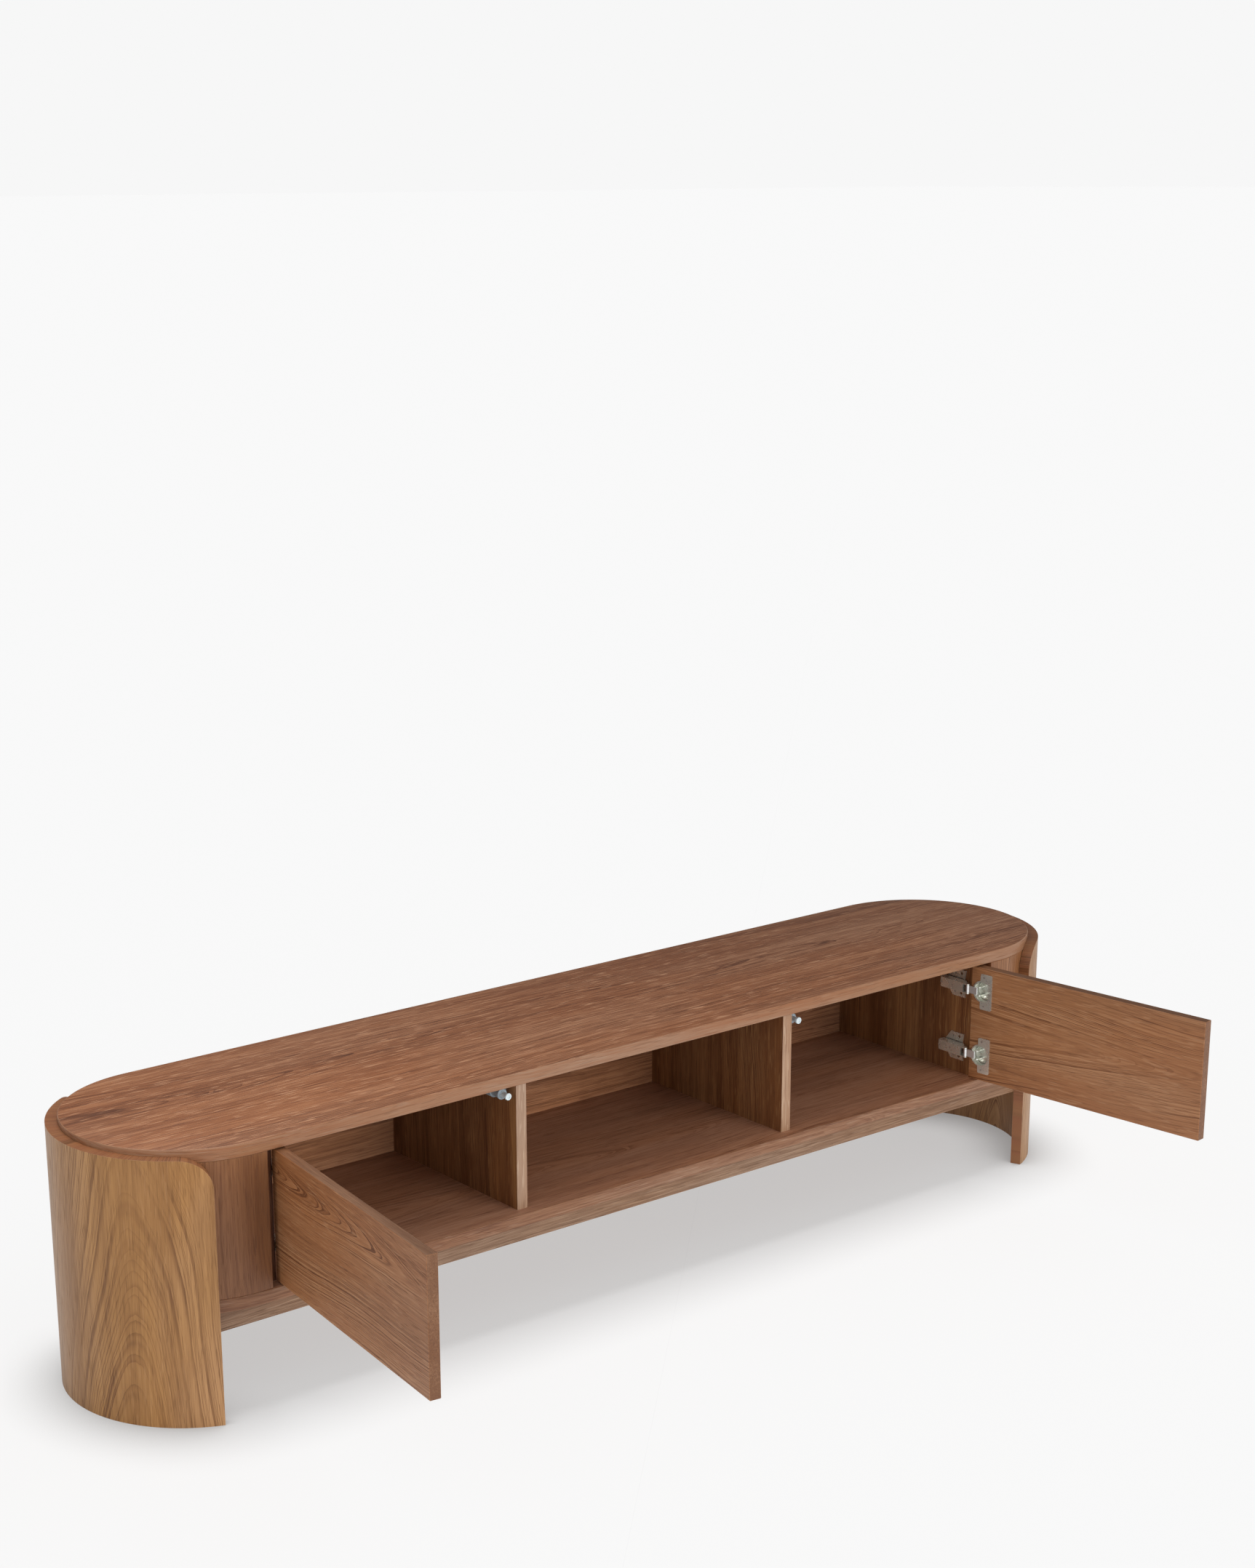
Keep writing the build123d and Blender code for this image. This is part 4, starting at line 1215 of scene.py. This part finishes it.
# ---------------------------------------------------------------- studio
@dataclass
class Studio:
    """The pale floor, the soft lights and the camera."""

    azimuth: float = math.radians(-38.253)
    elevation: float = math.radians(17.117)
    roll: float = math.radians(-0.322)
    distance: float = 4.0249
    aim: Triple = (-0.0213, 0.0, 0.4204)
    lens: float = 60.997
    shift: tuple[float, float] = (0.0292, 0.1316)
    backdrop: float = 0.93
    floor_size: float = 400.0
    floor_albedo: float = 0.2955
    floor_glow: float = 0.508
    # Painted contact shadow on the floor: the share of glow left where the console stands close, and how
    # far it reaches.
    contact_glow: float = 0.45
    contact_reach: float = 0.11
    surround: float = 0.36
    surround_in_front: float = 1.55
    surround_behind: float = 0.4
    lights_middle: Triple = (0.0, 0.0, 3.0)

    def camera(self) -> None:
        """Places the camera at its angle round the carcass."""
        low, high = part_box("top_panel")
        target = Vector(self.aim) + Vector((0.0, (low.y + high.y) / 2, 0.0))
        sin_a, cos_a = math.sin(self.azimuth), math.cos(self.azimuth)
        sin_e, cos_e = math.sin(self.elevation), math.cos(self.elevation)
        back = Vector((sin_a * cos_e, -cos_a * cos_e, sin_e))
        right = Vector((cos_a, sin_a, 0.0))
        up = back.cross(right)
        sideways = right * math.cos(self.roll) + up * math.sin(self.roll)
        upwards = up * math.cos(self.roll) - right * math.sin(self.roll)
        data = bpy.data.cameras.new("camera")
        data.lens, data.sensor_width = self.lens, 36.0
        data.shift_x, data.shift_y = self.shift
        data.clip_start, data.clip_end = 0.05, 500.0
        made = bpy.data.objects.new("camera", data)
        bpy.context.scene.collection.objects.link(made)
        made.matrix_world = Matrix.Translation(target + back * self.distance) @ Matrix(
            (sideways, upwards, back)
        ).transposed().to_4x4()
        bpy.context.scene.camera = made

    def floor(self) -> bpy.types.Object:
        """Lays the floor, which glows a little so that shadows on it stay light, and whose glow dims
        near the console as a painted contact shadow.

        Returns:
            The floor.
        """
        mesh = bmesh.new()
        bmesh.ops.create_grid(mesh, x_segments=1, y_segments=1, size=self.floor_size / 2)
        made, tree, shader = new_material("studio_floor")
        shader.inputs["Base Color"].default_value = (*[self.floor_albedo] * 3, 1.0)
        shader.inputs["Emission Color"].default_value = (1.0, 1.0, 1.0, 1.0)
        # Painted contact shadow: the glow dims where the console stands close over the floor.
        near = tree.add("AmbientOcclusion", samples=6)
        near.inputs["Distance"].default_value = self.contact_reach
        shadowed_glow = self.floor_glow * self.contact_glow
        glow = tree.ranged(near.outputs["AO"], 0.35, 1.0, shadowed_glow, self.floor_glow)
        tree.put(shader.inputs["Emission Strength"], glow)
        shader.inputs["Roughness"].default_value = 1.0
        shader.inputs["Specular IOR Level"].default_value = 0.0
        ground = piece_from("studio_floor", mesh, [made])
        return ground

    def shine(
        self, data: bpy.types.Light, place: Triple, towards: Triple, taker: Taker,
        ground: bpy.types.Object, passes: tuple[str, ...] = (),
    ) -> None:
        """Places a light and says what takes it.

        Args:
            data: The light's settings.
            place: Where it hangs.
            towards: Where it shines from, as a direction.
            taker: What the light falls on.
            ground: The floor.
            passes: The doors that it shines through.
        """
        made = bpy.data.objects.new(data.name, data)
        bpy.context.scene.collection.objects.link(made)
        turn = Vector(towards).to_track_quat("Z", "Y")
        made.matrix_world = Matrix.Translation(place) @ turn.to_matrix().to_4x4()
        taken = bpy.data.collections.new(f"{data.name}_takes")
        taken.objects.link(ground)
        taken.collection_objects[0].light_linking.link_state = taker.value
        made.light_linking.receiver_collection = taken
        if passes:
            made.light_linking.blocker_collection = self.passed(f"{data.name}_passes", passes)
        made.visible_glossy = data.type == "AREA"

    def passed(self, name: str, doors: tuple[str, ...]) -> bpy.types.Collection:
        """Lists the doors that cast no shadow from a light.

        Args:
            name: The collection's name.
            doors: The doors.

        Returns:
            A collection that excludes them from the light's blockers.
        """
        passed = bpy.data.collections.new(name)
        for door in doors:
            passed.objects.link(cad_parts[door])
        for row in passed.collection_objects:
            row.light_linking.link_state = "EXCLUDE"
        return passed

    def sun(self, name: str, strength: float, softness: float) -> bpy.types.Light:
        """Makes a broad distant light's settings.

        Args:
            name: The light's name.
            strength: Its strength.
            softness: Its angle across, in degrees.

        Returns:
            The settings.
        """
        data = bpy.data.lights.new(name, "SUN")
        data.energy, data.angle = strength, math.radians(softness)
        return data

    def panel(self, name: str, power: float, size: float) -> bpy.types.Light:
        """Makes a square soft box's settings.

        Args:
            name: The light's name.
            power: Its power.
            size: Its width.

        Returns:
            The settings.
        """
        data = bpy.data.lights.new(name, "AREA")
        data.energy, data.size = power, size
        return data

    def world(self) -> None:
        """Sets a pale surround, which the camera sees evenly and which lights the front most."""
        world = bpy.data.worlds.new("studio")
        world.use_nodes = True
        tree = Tree(world.node_tree)
        seen = tree.add("Background")
        seen.inputs["Color"].default_value = (self.backdrop, self.backdrop, self.backdrop, 1.0)
        lit = world.node_tree.nodes["Background"]
        lit.inputs["Color"].default_value = (1.0, 1.0, 1.0, 1.0)
        split = tree.add("SeparateXYZ")
        tree.put(split.inputs[0], tree.add("TexCoord").outputs["Generated"])
        front, back = self.surround * self.surround_in_front, self.surround * self.surround_behind
        tree.put(lit.inputs["Strength"], tree.ranged(split.outputs[1], -0.3, 0.8, front, back))
        mix, path = tree.add("MixShader"), tree.add("LightPath")
        tree.put(mix.inputs[0], path.outputs["Is Camera Ray"])
        tree.put(mix.inputs[1], lit.outputs[0])
        tree.put(mix.inputs[2], seen.outputs[0])
        tree.put(world.node_tree.nodes["World Output"].inputs["Surface"], mix.outputs[0])
        bpy.context.scene.world = world

    def build(self) -> None:
        """Sets up the whole studio."""
        self.camera()
        ground = self.floor()
        self.world()
        middle, both = self.lights_middle, ("left_door", "right_door")
        for data, place, towards, taker, passes in (
            (self.sun("floor_light", 3.36, 30.0), middle, (0.02, 0.10, 1.0), Taker.FLOOR, both),
            (self.sun("front_light", 2.35, 45.0), middle, (0.15, -1.0, 0.19), Taker.OBJECT, both[1:]),
            (self.sun("side_light", 0.6, 40.0), middle, (-1.0, -0.3, 0.22), Taker.OBJECT, ()),
            (self.sun("back_light", 0.38, 60.0), middle, (0.3, 1.0, 0.35), Taker.OBJECT, ()),
            (self.panel("ceiling_light", 12.6, 1.0), (-0.80, 0.35, 1.55), ACROSS_Z, Taker.OBJECT, ()),
        ):
            self.shine(data, place, towards, taker, ground, passes)
        view = bpy.context.scene.view_settings
        view.view_transform, view.look = "Standard", "None"


def main() -> None:
    """Builds every sub-assembly in order and logs its pieces."""
    logging.basicConfig(level=logging.INFO, format="%(name)s: %(message)s")
    Studio().build()
    finishes = Finishes()
    for assembly in (Carcass(finishes), Doors(finishes), Hinges(finishes), Latches(finishes)):
        assembly.build()
        for name in assembly.pieces:
            LOG.info("%s: %s", type(assembly).__name__, name)


if __name__ == "__main__":
    main()
